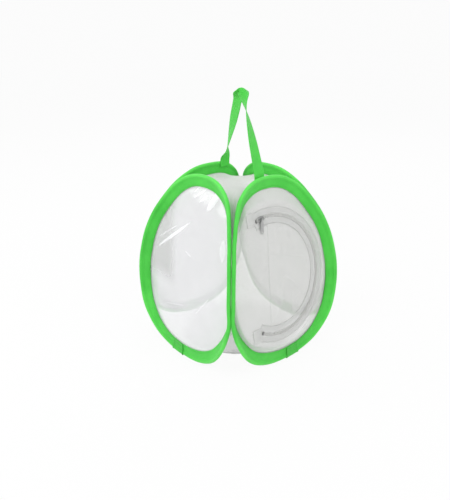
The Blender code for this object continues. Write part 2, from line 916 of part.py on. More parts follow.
clear_scene()
parts = make_collection("insect_cage")
cutters = make_collection("cutters", helpers=True)
materials = {
    "binding": make_material("green_binding_cloth", (0.05, 0.48, 0.04), 0.7),
    "net": make_material("white_net", (0.86, 0.87, 0.86), 0.8, alpha=0.4),
    "film": make_material("clear_film", (0.95, 0.95, 0.96), 0.08, alpha=0.2),
    "floor": make_material("white_floor_cloth", (0.85, 0.85, 0.84), 0.85),
    "tape": make_material("white_zip_tape", (0.75, 0.75, 0.73), 0.8),
    "teeth": make_material("nylon_teeth", (0.78, 0.78, 0.76), 0.45),
    "steel": make_material("steel", (0.55, 0.55, 0.55), 0.35, metallic=1.0),
}
stations = {row: station(row) for row in station_rows()}

for side, lap_side in (("window", -1), ("door", 1), ("back", -1), ("left", 1)):
    make_hoop(side, lap_side)
door_panel_object = make_panels()
make_top_net()
make_floor()
make_door_side(door_panel_object)
make_strap_tab("strap_tab_front", "door", strap_front_offset)
make_strap_tab("strap_tab_back", "left", strap_back_offset)
make_strap()
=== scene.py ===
import math
import bmesh
import bpy
from mathutils import Matrix, Vector, noise


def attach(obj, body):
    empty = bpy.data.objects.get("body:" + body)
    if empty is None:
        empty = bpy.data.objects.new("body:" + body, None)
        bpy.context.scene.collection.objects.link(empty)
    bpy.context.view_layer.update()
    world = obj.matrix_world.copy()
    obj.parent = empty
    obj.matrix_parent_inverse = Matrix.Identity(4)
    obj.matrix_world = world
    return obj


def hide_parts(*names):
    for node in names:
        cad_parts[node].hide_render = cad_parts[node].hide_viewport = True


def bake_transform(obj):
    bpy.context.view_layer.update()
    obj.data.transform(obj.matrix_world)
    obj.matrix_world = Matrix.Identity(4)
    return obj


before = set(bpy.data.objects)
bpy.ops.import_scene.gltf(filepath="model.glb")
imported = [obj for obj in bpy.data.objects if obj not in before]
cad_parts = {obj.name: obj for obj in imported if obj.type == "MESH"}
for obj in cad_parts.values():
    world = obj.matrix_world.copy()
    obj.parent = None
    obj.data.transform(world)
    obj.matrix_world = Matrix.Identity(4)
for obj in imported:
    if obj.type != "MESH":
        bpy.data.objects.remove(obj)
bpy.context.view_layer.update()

# Every size is in metres. The cage stands on z = 0, the zipped door faces +X, the window faces -Y.

hoop = {
    "height": 0.280, "width": 0.227,
    "footSpread": 0.2428, "crownSpread": 0.1350,
    "band": 0.020,              # width of the folded binding
    "cloth": 0.0008,            # its cloth
    "foldRadius": 0.0028,       # middle of the cloth round the wire
    "foldCentre": 0.0032,       # from the band's outer edge
    "foldRun": 0.0058,          # from there to where the two legs lie flat
    "legLift": 0.0010,          # middle of each leg off the panel
    "seamOffset": 0.00335,
    "footHeight": 0.010524,
    "rows": (                   # height share, half-width share, lean towards the seam
        (0.000, 0.000, 0.00), (0.016, 0.358, 0.10), (0.075, 0.668, 0.35), (0.185, 0.884, 0.75),
        (0.317, 0.994, 1.00), (0.443, 0.987, 1.00), (0.552, 0.953, 1.00), (0.652, 0.902, 1.00),
        (0.753, 0.820, 1.00), (0.845, 0.694, 0.70), (0.927, 0.531, 0.35), (0.985, 0.285, 0.10),
        (1.000, 0.000, 0.00),
    ),
    "footShares": (1.00, 0.95, 0.90, 0.85),
    "crownShares": (0.353, 0.695, 0.919, 1.00),
    "firstSeam": 4, "lastSeam": 8,
}
turns = {"window": 0.0, "door": math.pi / 2, "back": math.pi, "left": -math.pi / 2}
fullTurn = 2 * (len(hoop["rows"]) - 1)


def mix(a, b, t):
    return a + (b - a) * t


def ease(t):
    t = min(max(t, 0.0), 1.0)
    return t * t * (3 - 2 * t)


def wander(x, y=0.0, z=0.0):            # smooth noise from -1 to 1, the same on each run
    return noise.noise(Vector((x, y, z)))


def meshFrom(name, mesh):
    data = bpy.data.meshes.new(name)
    mesh.to_mesh(data)
    mesh.free()
    return data


def linked(name, data):
    item = bpy.data.objects.new(name, data)
    bpy.context.scene.collection.objects.link(item)
    return item


def ready(name, mesh, body, paint):
    item = linked(name, meshFrom(name, mesh))
    item.data.shade_smooth()
    item.data.materials.append(paint)
    if body:
        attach(item, body)
    return item


def laid(cols, rows, spot, join=False):
    # a flat grid laid along a surface; spot gives a vertex its place and its place on the flat cloth
    mesh = bmesh.new()
    bmesh.ops.create_grid(mesh, x_segments=cols, y_segments=rows, size=1.0)
    cloth = mesh.loops.layers.uv.new("cloth")
    flat = {}
    for vert in mesh.verts:
        vert.co, flat[vert] = spot((vert.co.x + 1) / 2, (vert.co.y + 1) / 2)
    for face in mesh.faces:
        for loop in face.loops:
            loop[cloth].uv = flat[loop.vert]
    if join:
        bmesh.ops.remove_doubles(mesh, verts=mesh.verts, dist=0.00002)
        bmesh.ops.dissolve_degenerate(mesh, dist=0.00001, edges=mesh.edges)
    bmesh.ops.recalc_face_normals(mesh, faces=mesh.faces)
    return mesh


def walled(item, wall):
    solid = item.modifiers.new("wall", "SOLIDIFY")
    solid.thickness = wall
    solid.offset = 0.0
    solid.use_even_offset = False


def areaOf(mesh):
    return sum(face.calc_area() for face in mesh.faces)


def joined(target, other):              # the other mesh goes into the target
    data = meshFrom("joined", other)
    target.from_mesh(data)
    bpy.data.meshes.remove(data)


def stitch(length, width, height):      # half sizes of one small bead
    bead = bmesh.new()
    size = Matrix.Diagonal((length, width, height, 1))
    bmesh.ops.create_icosphere(bead, subdivisions=1, radius=1, matrix=size)
    return bead


def strung(mesh, bead, spots):          # copies of one small shape, each turned to its own place
    one = meshFrom("bead", bead)
    for spot in spots:
        copy = one.copy()
        copy.transform(spot)
        mesh.from_mesh(copy)
        bpy.data.meshes.remove(copy)
    bpy.data.meshes.remove(one)
    return mesh


def polar(radius, angle, lift=0.0):
    return Vector((radius * math.cos(angle), radius * math.sin(angle), lift))


def repaint(node, paint):               # a CAD node keeps its mesh and takes a paint
    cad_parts[node].data.materials.clear()
    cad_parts[node].data.materials.append(paint)


def facing(middle, along, up):          # frame with X along, Z up from the cloth
    x = along.normalized()
    z = (up - up.dot(x) * x).normalized()
    y = z.cross(x)
    return Matrix.Translation(middle) @ Matrix((x, y, z)).transposed().to_4x4()


def hoopRow(row):                       # rows past the crown run down the left side
    row %= fullTurn
    side = 1
    if row > fullTurn // 2:
        row, side = fullTurn - row, -1
    up, wide, lean = hoop["rows"][row]
    shift = math.sqrt(2) * hoop["seamOffset"]
    across = wide * hoop["width"] / 2
    low = hoop["rows"][hoop["firstSeam"]][1] * hoop["width"] / 2 + shift
    high = hoop["rows"][hoop["lastSeam"]][1] * hoop["width"] / 2 + shift
    if row < hoop["firstSeam"]:
        out = mix(low, hoop["footSpread"] / 2, hoop["footShares"][row])
    elif row > hoop["lastSeam"]:
        out = mix(high, hoop["crownSpread"] / 2, hoop["crownShares"][row - hoop["lastSeam"] - 1])
    else:
        out = across + shift
    return side * across, out, up * hoop["height"] + hoop["footHeight"], lean


def hoopAt(place):
    row = math.floor(place)
    t = place - row
    four = [hoopRow(row + step) for step in (-1, 0, 1, 2)]
    values = [
        b + 0.5 * t * (c - a + t * (2 * a - 5 * b + 4 * c - d + t * (3 * (b - c) + d - a)))
        for a, b, c, d in zip(*four)
    ]
    across, out, height, lean = values
    return Vector((across, -out, height)), min(max(lean, 0.0), 1.0)


def hoopFrame(place):                   # middle of the band, the way in from the wire, the way out
    middle, lean = hoopAt(place)
    tangent = (hoopAt(place + 0.05)[0] - hoopAt(place - 0.05)[0]).normalized()
    inward = Vector((-tangent.z, 0, tangent.x)).normalized() + Vector((0, lean, 0))
    inward = (inward - inward.dot(tangent) * tangent).normalized()
    face = tangent.cross(inward).normalized()
    return middle, inward, -face if face.y > 0 else face


rowsFine = 10                           # places kept per row
framesKept = [hoopFrame(i / rowsFine) for i in range(fullTurn * rowsFine)]
lengths = [0.0]
for i in range(len(framesKept)):
    step = framesKept[(i + 1) % len(framesKept)][0] - framesKept[i][0]
    lengths.append(lengths[-1] + step.length)
hoopLength = lengths[-1]


def frameAt(place):
    spot = (place % fullTurn) * rowsFine
    low = int(spot) % len(framesKept)
    t = spot - int(spot)
    a, b = framesKept[low], framesKept[(low + 1) % len(framesKept)]
    return [x.lerp(y, t) for x, y in zip(a, b)]


def bandSpot(place, depth, lift=0.0):   # depth from the band's outer edge, lift towards the outside
    middle, inward, face = frameAt(place)
    return middle + inward * (depth - hoop["band"] / 2) + face * lift


def lengthAt(place):                    # distance along the hoop from the foot
    spot = (place % fullTurn) * rowsFine
    low = int(spot) % len(framesKept)
    whole = math.floor(place / fullTurn) * hoopLength
    return whole + mix(lengths[low], lengths[low + 1], spot - int(spot))


def placeAt(length):                    # the row at a distance along the hoop from the foot
    whole, left = divmod(length, hoopLength)
    low = max(i for i in range(len(lengths) - 1) if lengths[i] <= left)
    t = (left - lengths[low]) / (lengths[low + 1] - lengths[low])
    return whole * fullTurn + (low + t) / rowsFine


def wanderRound(place, rate, seed):     # smooth noise along the hoop that meets itself at the foot
    turn = 2 * math.pi * lengthAt(place) / hoopLength
    reach = rate * hoopLength / (2 * math.pi)
    return wander(reach * math.cos(turn), reach * math.sin(turn), seed)


def turned(side):
    return Matrix.Rotation(turns[side], 4, "Z")


class Value:                            # one socket of a paint, with Python's own operators
    def __init__(self, paint, socket):
        self.paint, self.socket = paint, socket

    def sum(self, operation, *others):
        return self.paint.node("ShaderNodeMath", {"operation": operation}, (self, *others))

    def __add__(self, other):
        return self.sum("ADD", other)

    def __sub__(self, other):
        return self.sum("SUBTRACT", other)

    def __rsub__(self, other):
        return self.paint.node("ShaderNodeMath", {"operation": "SUBTRACT"}, (other, self))

    def __mul__(self, other):
        return self.sum("MULTIPLY", other)

    def __abs__(self):
        return self.sum("ABSOLUTE")

    def sine(self):
        return self.sum("SINE")

    def atLeast(self, other):
        return self.sum("MAXIMUM", other)

    def atMost(self, other):
        return self.sum("MINIMUM", other)

    __radd__, __rmul__ = __add__, __mul__

    def between(self, low, high, outLow=0.0, outHigh=1.0):   # smooth step
        settings = {"interpolation_type": "SMOOTHSTEP"}
        return self.paint.node("ShaderNodeMapRange", settings, (self, low, high, outLow, outHigh))


class Paint:
    def __init__(self, name, roughness, **fixed):
        self.made = bpy.data.materials.new(name)
        self.made.use_nodes = True
        self.nodes = self.made.node_tree.nodes
        self.links = self.made.node_tree.links
        self.shader = self.nodes["Principled BSDF"]
        self.set("Roughness", roughness)
        for socket, value in fixed.items():
            self.set(socket, value)

    def set(self, name, value):
        self.feed(self.shader.inputs[name], value)

    def feed(self, socket, value):
        if isinstance(value, Value):
            self.links.new(value.socket, socket)
        elif value is not None:
            socket.default_value = value

    def node(self, kind, settings=None, values=(), output=0):
        made = self.nodes.new(kind)
        for key, value in (settings or {}).items():
            setattr(made, key, value)
        pairs = values.items() if isinstance(values, dict) else enumerate(values)
        for key, value in pairs:
            self.feed(made.inputs[key], value)
        return Value(self, made.outputs[output])

    def place(self):
        return self.node("ShaderNodeTexCoord", output="Object")

    def cloth(self):                    # the piece's own flat cloth, in metres
        return self.split(self.node("ShaderNodeUVMap", {"uv_map": "cloth"}))

    def split(self, vector):
        made = self.nodes.new("ShaderNodeSeparateXYZ")
        self.feed(made.inputs[0], vector)
        return [Value(self, made.outputs[i]) for i in range(3)]

    def cloud(self, scale, detail=2.0):
        values = {"Vector": self.place(), "Scale": scale, "Detail": detail}
        return self.node("ShaderNodeTexNoise", {}, values, "Fac")

    def blend(self, factor, first, second):
        made = self.nodes.new("ShaderNodeMix")
        made.data_type = "RGBA"
        for key, value in (("Factor_Float", factor), ("A_Color", first), ("B_Color", second)):
            socket = next(s for s in made.inputs if s.identifier == key)
            if isinstance(value, tuple):
                value = (*value, 1.0)
            self.feed(socket, value)
        return Value(self, next(s for s in made.outputs if s.identifier == "Result_Color"))

    def bump(self, height, distance, strength=1.0):
        values = {"Height": height, "Distance": distance, "Strength": strength}
        self.set("Normal", self.node("ShaderNodeBump", {}, values))


def linear(r, g, b):                    # from the 0 to 255 of a screen
    return tuple(((c / 255 + 0.055) / 1.055) ** 2.4 if c > 10 else c / 255 / 12.92 for c in (r, g, b))


def greenTape(name, ribs=0.0009, depth=0.00012, foldHighlight=0.0, deeper=1.0):
    # woven tape: ribs across it, fine threads along it, a firm edge
    look = Paint(name, 0.5, **{"Specular IOR Level": 0.45, "Sheen Weight": 0.12, "Sheen Roughness": 0.4})
    along, across, _ = look.cloth()
    rib = (along * (2 * math.pi / ribs)).sine()
    thread = (across * (2 * math.pi / (ribs * 0.75))).sine()
    weave = rib * 0.5 + thread * 0.35 * rib + 0.5
    patchy = look.cloud(38.0, 3.0)
    fine = look.cloud(900.0, 1.0)
    tone = (patchy - 0.5) * 0.55 + (weave - 0.5) * 0.22 + (fine - 0.5) * 0.3 + 0.45
    if foldHighlight:                            # painted highlight: the round fold over the wire is painted lighter where light catches it, but not near the seams between hoops, where the tape is painted darker
        x, y, _ = look.split(look.place())
        seam = 1.0 - abs(abs(x) - abs(y)).between(0.004, 0.020)
        tone = tone + (1.0 - abs(across).between(0.0020, 0.0062)) * (1.0 - seam) * foldHighlight - seam * 0.10
    dark, light = (tuple(c * deeper for c in linear(*rgb)) for rgb in ((38, 188, 42), (104, 240, 94)))
    look.set("Base Color", look.blend(tone.atLeast(0.0).atMost(1.0), dark, light))
    look.set("Roughness", 0.42 + patchy * 0.2)
    look.bump(weave + fine * 0.4, depth)
    return look.made


def netCloth(name, pitch, cover, color, axes=None):
    # fine knitted net: threads both ways and a slanted one, and open cells between
    look = Paint(name, 0.75, **{"Specular IOR Level": 0.2, "Sheen Weight": 0.1})
    if axes:
        xyz = look.split(look.place())
        u, v = xyz[axes[0]], xyz[axes[1]]
    else:
        u, v, _ = look.cloth()
    step = 2 * math.pi / pitch
    one = ((u + v * 0.577) * step).sine() * 0.5 + 0.5
    two = ((u - v * 0.577) * step).sine() * 0.5 + 0.5
    three = (v * (1.155 * step)).sine() * 0.5 + 0.5
    thread = one.atLeast(two).atLeast(three)
    slack = look.cloud(16.0, 3.0)
    cloth = thread.between(0.75, 0.98, cover - 0.22, min(cover + 0.16, 1.0))
    look.set("Alpha", (cloth + (slack - 0.5) * 0.12).atMost(1.0))
    low = tuple(c * 0.93 for c in color)
    look.set("Base Color", look.blend(slack, low, color))
    look.bump(thread, pitch * 0.25, 0.6)
    return look.made


# creases left in the film, each with a painted highlight along it: across, height, direction, half length,
# half width, rise, painted highlight strength
creasesAndHighlights = (
    (-0.0508, 0.1955, 0.66, 0.050, 0.0034, 0.0012, 0.95),
    (-0.0670, 0.1980, 0.60, 0.026, 0.0012, 0.0005, 0.50),
    (0.0282, 0.2652, 1.08, 0.020, 0.0075, 0.0016, 0.95),
    (-0.0076, 0.2700, 0.64, 0.017, 0.0020, 0.0007, 0.65),
    (0.0045, 0.2640, 0.67, 0.012, 0.0022, 0.0007, 0.70),
    (-0.0160, 0.2760, 0.80, 0.012, 0.0016, 0.0005, 0.40),
    (0.0734, 0.2018, -1.33, 0.017, 0.0075, 0.0010, 0.42),
    (-0.0056, 0.1753, -0.30, 0.010, 0.0018, 0.0004, 0.30),
    (-0.0250, 0.0850, 0.25, 0.030, 0.0016, 0.0005, 0.18),
    (0.0450, 0.1050, 0.90, 0.024, 0.0018, 0.0005, 0.18),
)


def clearFilm(name):
    # soft clear sheet: faint and glossy, clearer towards one side, with painted highlights along its
    # creases
    look = Paint(name, 0.06, **{"Base Color": (0.965, 0.960, 0.985, 1.0), "Specular IOR Level": 0.9})
    x, _, z = look.split(look.place())
    haze = look.cloud(9.0, 2.0)
    fray = look.cloud(160.0, 3.0)
    slant = x + z * 0.24 + (haze - 0.5) * 0.010
    clear = (1.0 - slant.between(-0.022, 0.010)) * z.between(0.106, 0.142) * (1.0 - z.between(0.215, 0.270))
    white = haze.between(0.35, 0.75) * 0.08 + 0.46 - clear * 0.34
    # painted highlight: each crease's streak of reflected light is painted as extra whiteness in the film
    for across, height, turn, length, width, _, strength in creasesAndHighlights:
        dx, dz = x - across, z - height
        along = dx * (math.cos(turn) / length) + dz * (math.sin(turn) / length)
        aside = dz * (math.cos(turn) / width) - dx * (math.sin(turn) / width)
        near = (1.0 - along * along - aside * aside + (fray - 0.5) * 0.6).between(0.0, 0.55)
        white = white + near * strength * 0.7
    look.set("Alpha", white.atMost(0.96))
    look.bump(haze, 0.004, 0.35)
    return look.made


def whiteCloth(name, light, dark, pitch=0.0011, alpha=None, slopes=0.0):
    look = Paint(name, 0.85, **{"Sheen Weight": 0.1})
    x, y, z = look.split(look.place())
    step = 2 * math.pi / pitch
    weave = (x * step).sine() * (y * step).sine() * 0.5 + 0.5
    patchy = look.cloud(22.0, 3.0)
    look.set("Base Color", look.blend(patchy * 0.7 + weave * 0.3, dark, light))
    if alpha is not None:               # the sloping sides, where it is stretched, let more through
        cover = alpha + (weave - 0.5) * 0.15 + (patchy - 0.5) * 0.1 - z.between(0.002, 0.020) * slopes
        look.set("Alpha", cover.atLeast(0.05).atMost(1.0))
    look.bump(weave, 0.00012)
    return look.made


def zipTape(name):
    # white twill tape with a firm line along each edge
    look = Paint(name, 0.7, **{"Sheen Weight": 0.1})
    along, across, _ = look.cloth()
    step = 2 * math.pi / 0.0008
    twill = ((along + across) * step).sine() * 0.5 + 0.5
    edge = across.between(0.0105, 0.0128) + (1.0 - across.between(0.0002, 0.0020))
    patchy = look.cloud(60.0, 2.0)
    tone = twill * 0.2 + patchy * 0.3 + edge * 0.5
    look.set("Base Color", look.blend(tone.atMost(1.0), linear(244, 244, 243), linear(222, 223, 221)))
    look.set("Alpha", (0.50 + edge * 0.2).atMost(1.0))
    look.bump(twill, 0.00010)
    return look.made


def nylon(name):
    look = Paint(name, 0.35)
    look.set("Base Color", look.blend(look.cloud(300.0), linear(192, 192, 190), linear(226, 226, 224)))
    look.bump(look.cloud(1200.0), 0.00003)
    return look.made


def plainSteel(name, light=0.42, dark=0.22, rough=0.34):
    look = Paint(name, rough, Metallic=1.0)
    wear = look.cloud(120.0, 4.0)
    look.set("Base Color", look.blend(wear, (dark,) * 3, (light,) * 3))
    look.set("Roughness", rough - 0.08 + wear * 0.2)
    look.bump(look.cloud(900.0, 3.0), 0.00003)
    return look.made


def thread(name, color):
    look = Paint(name, 0.6)
    look.set("Base Color", look.blend(look.cloud(500.0), tuple(c * 0.8 for c in color), color))
    look.bump(look.cloud(2500.0), 0.00005)
    return look.made


paints = {
    # the fold numbers set how much painted highlight lies on the fold over the wire
    "green": greenTape("green woven tape", foldHighlight=0.30),
    "lap": greenTape("green woven tape, laps", foldHighlight=0.2, deeper=0.86),
    "webbing": greenTape("green webbing", ribs=0.0013, depth=0.00018),
    "greenThread": thread("green thread", linear(70, 190, 62)),
    "whiteThread": thread("white thread", linear(225, 225, 223)),
    "film": clearFilm("clear film"),
    "netX": netCloth("white net, doors side", 0.0011, 0.50, (0.90, 0.90, 0.89), (1, 2)),
    "netY": netCloth("white net, windows side", 0.0011, 0.50, (0.90, 0.90, 0.89), (0, 2)),
    "netTop": netCloth("white net, top", 0.0011, 0.70, (0.94, 0.91, 0.93), (0, 1)),
    "lining": whiteCloth("white seam lining", linear(246, 248, 245), linear(236, 239, 234), 0.0009, 0.86),
    "floor": whiteCloth("white floor cloth", linear(*[250] * 3), linear(*[242] * 3), 0.0012, 0.38, 0.33),
    "tape": zipTape("white zip tape"),
    "nylon": nylon("white nylon"),
    "steel": plainSteel("plain steel"),
    "wire": plainSteel("spring steel", 0.45, 0.25, 0.4),
    "pull": plainSteel("brushed steel", 0.54, 0.36, 0.38),
}
print("paints made", len(paints))


binding = {
    "around": 288, "sectionSteps": 28,
    "pucker": 0.00035,          # waves where the straight tape bends round the hoop
    "looseFrom": 0.005, "looseRun": 0.012, "puckerRates": (120, 260),
    "slowWave": 0.0005, "slowRate": 28, "edgeWander": 0.0004, "edgeRate": 45,
    "stitchPitch": 0.0034, "stitchLength": 0.0026, "stitchRadius": 0.00022, "stitchDepth": 0.0172,
    "lapLength": 0.026, "lapPlace": 0.012, "lapLift": 0.0010,
    "lapEdge": 0.0007, "lapEdgeRun": 0.0030,    # the turned-in ends stand up a little more
    "crossInset": 0.0022, "crossDepth": 0.0075, "crossPitch": 0.0026, "crossCount": 5,
    "laps": {"window": -1, "door": 1, "back": -1, "left": 1},
    "seeds": {"window": 3.1, "door": 7.7, "back": 12.9, "left": 19.3},
    "liningRows": (2.6, 8.8), "liningDepths": (0.0078, 0.0215), "liningLift": 0.00175,
    "liningWall": 0.0002, "crossLength": 0.0011,
    "whipPitch": 0.0016, "whipSize": (0.00135, 0.00036, 0.0003), "whipSlant": 0.25,
}


def sectionAt(t, extra=0.0):            # t from -1 to 1, inner leg to outer leg; depth and lift
    a = abs(t)
    foldShare = 0.26
    radius = hoop["foldRadius"] + extra
    if a < foldShare:
        angle = math.pi - a / foldShare * math.pi / 2
        depth = hoop["foldCentre"] + radius * math.cos(angle)
        lift = radius * math.sin(angle)
    else:
        s = (a - foldShare) / (1 - foldShare)
        run = s * (hoop["band"] - hoop["foldCentre"])
        depth = hoop["foldCentre"] + run
        lift = mix(radius, hoop["legLift"] + extra, ease(run / hoop["foldRun"]))
    return depth, lift if t > 0 else -lift


def puckered(place, depth, lift, seed):
    loose = ease((depth - binding["looseFrom"]) / binding["looseRun"])
    coarse, fine = binding["puckerRates"]
    wave = wanderRound(place, coarse, seed) * 0.6 + wanderRound(place, fine, seed + 4.0) * 0.4
    push = binding["pucker"] * loose * wave
    slow = binding["slowWave"] * wanderRound(place, binding["slowRate"], seed + 9.0)
    deeper = binding["edgeWander"] * loose * wanderRound(place, binding["edgeRate"], seed + 2.0)
    return lift + math.copysign(push, lift) + slow, depth + deeper


def bindingSpot(side, place, t, extra=0.0):
    seed = binding["seeds"][side]
    depth, lift = sectionAt(t, extra)
    lift, depth = puckered(place, depth, lift, seed)
    return turned(side) @ bandSpot(place, depth, lift), depth, lift


def makeBinding(side):
    def spot(u, v):
        place = u * fullTurn
        t = v * 2 - 1
        where, depth, _ = bindingSpot(side, place, t)
        return where, (lengthAt(min(place, fullTurn - 1e-6)), math.copysign(depth, t))

    mesh = laid(binding["around"], binding["sectionSteps"], spot, join=True)
    area = areaOf(mesh)
    item = ready(f"{side}Band", mesh, "cage", paints["green"])
    walled(item, hoop["cloth"])
    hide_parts(f"{side}_binding")
    area / hoopLength


def stitchRow(mesh, side, depth, outer, start, end, extra=0.0):
    seed = binding["seeds"][side]
    count = int((end - start) / binding["stitchPitch"])
    spots = []
    for i in range(count):
        place = placeAt(start + (i + 0.5) * (end - start) / count)
        base = hoop["legLift"] + extra
        lift, deep = puckered(place, depth, base if outer else -base, seed)
        skin = hoop["cloth"] / 2 + binding["stitchRadius"] * 0.5
        lift += skin if outer else -skin
        _, inward, face = frameAt(place)
        middle = bandSpot(place, deep, lift)
        along = face.cross(inward)
        spots.append(turned(side) @ facing(middle, along, face if outer else -face))
    radius = binding["stitchRadius"]
    strung(mesh, stitch(binding["stitchLength"] / 2, radius, radius), spots)


def makeStitches(side):
    mesh = bmesh.new()
    for outer in (True, False):
        stitchRow(mesh, side, binding["stitchDepth"], outer, 0.0, hoopLength)
    return ready(f"{side}BandStitches", mesh, "cage", paints["greenThread"])


def makeLap(side):
    middle = binding["laps"][side] * binding["lapPlace"]
    start, end = middle - binding["lapLength"] / 2, middle + binding["lapLength"] / 2

    def spot(u, v):
        length = mix(start, end, u)
        t = v * 2 - 1
        turnIn = min(u, 1 - u) * binding["lapLength"]
        extra = binding["lapLift"] + binding["lapEdge"] * (1 - ease(turnIn / binding["lapEdgeRun"]))
        where, depth, _ = bindingSpot(side, placeAt(length), t, extra)
        return where, (length + binding["lapLength"] / 2, math.copysign(depth, t))

    mesh = laid(26, binding["sectionSteps"], spot)
    area = areaOf(mesh)
    item = ready(f"{side}Lap", mesh, "cage", paints["lap"])
    walled(item, hoop["cloth"])
    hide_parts(f"{side}_binding_lap")
    flat = (area / binding["lapLength"], binding["lapLength"])
    sewn = bmesh.new()
    for outer in (True, False):
        stitchRow(sewn, side, binding["stitchDepth"] - 0.0012, outer, start, end, binding["lapLift"])
    crossStitches(sewn, side, start + binding["crossInset"])
    crossStitches(sewn, side, end - binding["crossInset"])
    ready(f"{side}LapStitches", sewn, "cage", paints["greenThread"])


def crossStitches(mesh, side, length):
    # a row of stitches across the lap, on both legs
    place = placeAt(length)
    _, inward, face = frameAt(place)
    spots = []
    for outer in (1, -1):
        for i in range(binding["crossCount"]):
            depth = binding["crossDepth"] + i * binding["crossPitch"]
            lift = outer * (hoop["legLift"] + binding["lapLift"])
            lift, deep = puckered(place, depth, lift, binding["seeds"][side])
            lift += outer * (hoop["cloth"] / 2 + binding["stitchRadius"] * 0.4)
            spots.append(turned(side) @ facing(bandSpot(place, deep, lift), inward, face * outer))
    strung(mesh, stitch(binding["crossLength"], binding["stitchRadius"], binding["stitchRadius"]), spots)


def makeLining(side):
    # white lining over the inner leg where two hoops meet; the fold over the wire stays green
    mesh = bmesh.new()
    area = 0.0
    low, high = binding["liningRows"]
    for start, end in ((-high, -low), (-low, low), (low, high)):
        def spot(u, v):
            place = mix(start, end, u)
            depth = mix(*binding["liningDepths"], v)
            bulge = hoop["foldRadius"] * (1 - ease((depth - hoop["foldCentre"]) / hoop["foldRun"]))
            lift = -(binding["liningLift"] + bulge * 0.85)
            return turned(side) @ bandSpot(place, depth, lift), (lengthAt(place), depth)

        strip = laid(64, 8, spot)
        area += areaOf(strip)
        joined(mesh, strip)
    item = ready(f"{side}SeamLining", mesh, "cage", paints["lining"])
    walled(item, binding["liningWall"])
    width = binding["liningDepths"][1] - binding["liningDepths"][0] + 0.0010
    area / width


def makeSeams():
    # the two folds that meet are whipped together with close stitches
    mesh = bmesh.new()
    sides = list(turns)
    start, end = lengthAt(hoop["firstSeam"] - 0.25), lengthAt(hoop["lastSeam"] + 0.2)
    count = int((end - start) / binding["whipPitch"])
    spots = []
    for one, two in zip(sides, sides[1:] + sides[:1]):
        for i in range(count):
            place = placeAt(mix(start, end, i / count))
            a = turned(one) @ bandSpot(place, hoop["foldCentre"])
            b = turned(two) @ bandSpot(fullTurn - place, hoop["foldCentre"])
            out = -(turned(one) @ frameAt(place)[1])
            reach = hoop["foldRadius"] + hoop["cloth"] / 2
            middle = a.lerp(b, 0.5) + out * reach * 0.80
            slant = Vector((0, 0, binding["whipSlant"] * (-1) ** i))
            spots.append(facing(middle, (b - a).normalized() + slant, out))
    strung(mesh, stitch(*binding["whipSize"]), spots)
    ready("seamStitches", mesh, "cage", paints["greenThread"])


makeSeams()
for side in turns:
    makeBinding(side)
    makeStitches(side)
    makeLap(side)
    makeLining(side)
for side in turns:
    repaint(f"{side}_hoop_wire", paints["wire"])
    repaint(f"{side}_wire_ferrule", paints["wire"])
print("bindings made")


panel = {
    "slotDepth": 0.0062, "edgeRun": 0.0015,
    "netWall": 0.0004, "filmWall": 0.0004,
    "around": 192, "slotSteps": 3, "openSteps": 40,
    "zipAcross": -0.0135, "zipHeightShare": 0.5006,
    "lowRow": 5, "highRow": 8,
    "slack": 0.0010, "filmSlack": 0.0012, "slackRates": (22, 18), "slackRun": 0.03,
    "edgePucker": 0.00045, "puckerRate": 110, "puckerFade": 0.012, "puckerFrom": 0.002,
    "power": 3,                 # how late the middle rises to the edge
}


lowSpot = bandSpot(panel["lowRow"], hoop["band"])
highSpot = bandSpot(panel["highRow"], hoop["band"])
tilt = math.atan2(highSpot.y - lowSpot.y, highSpot.z - lowSpot.z)
zipHeight = hoop["height"] * panel["zipHeightShare"] + hoop["footHeight"]
zipInset = lowSpot.y + (zipHeight - lowSpot.z) * math.tan(tilt)


def onPlane(across, height):
    return Vector((across, zipInset + (height - zipHeight) * math.tan(tilt), height))


def membraneSpot(place, share, seed, slack):
    # share 1 is the edge where the panel leaves the binding, 0 the middle
    edge = bandSpot(place, hoop["band"] + panel["edgeRun"])
    centre = onPlane(panel["zipAcross"], zipHeight)
    flat = centre.lerp(edge, share)
    rise = edge.y - onPlane(edge.x, edge.z).y
    where = onPlane(flat.x, flat.z) + Vector((0, rise * share ** panel["power"], 0))
    away = (edge - flat).length
    rateAcross, rateUp = panel["slackRates"]
    wave = slack * wander(flat.x * rateAcross, flat.z * rateUp, seed) * ease(away / panel["slackRun"])
    pucker = panel["edgePucker"] * wanderRound(place, panel["puckerRate"], seed)
    pucker *= math.exp(-away / panel["puckerFade"])
    where.y += wave + pucker * ease(away / panel["puckerFrom"])
    return where


def creased(across, height):            # ridges left in the film from folding it flat
    rise = 0.0
    for x, z, angle, length, width, high, _ in creasesAndHighlights:
        dx, dz = across - x, height - z
        along = dx * math.cos(angle) + dz * math.sin(angle)
        aside = dz * math.cos(angle) - dx * math.sin(angle)
        rise -= high * math.exp(-(along / length) ** 2 - (aside / width) ** 2)
    return rise


def makeMembrane(name, side, node, paint, wall, slack, folded=False):
    seed = binding["seeds"][side] * 1.7
    slotSteps, openSteps = panel["slotSteps"], panel["openSteps"]

    def spot(u, v):
        place = u * fullTurn
        step = v * (slotSteps + openSteps)
        if step <= slotSteps:
            depth = mix(panel["slotDepth"], hoop["band"] + panel["edgeRun"], step / slotSteps)
            where = bandSpot(place, depth)
        else:
            where = membraneSpot(place, 1 - (step - slotSteps) / openSteps, seed, slack)
            if folded:
                where.y += creased(where.x, where.z)
        return turned(side) @ where, (where.x, where.z)

    mesh = laid(panel["around"], slotSteps + openSteps, spot, join=True)
    area = areaOf(mesh)
    item = ready(name, mesh, "cage", paints[paint])
    walled(item, wall)
    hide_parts(node)


wall, filmWall = panel["netWall"], panel["filmWall"]
makeMembrane("windowFilm", "window", "window_film", "film", filmWall, panel["filmSlack"], True)
makeMembrane("backNet", "back", "back_net", "netY", wall, panel["slack"])
makeMembrane("leftNet", "left", "left_net", "netX", wall, panel["slack"])
print("side panels made")


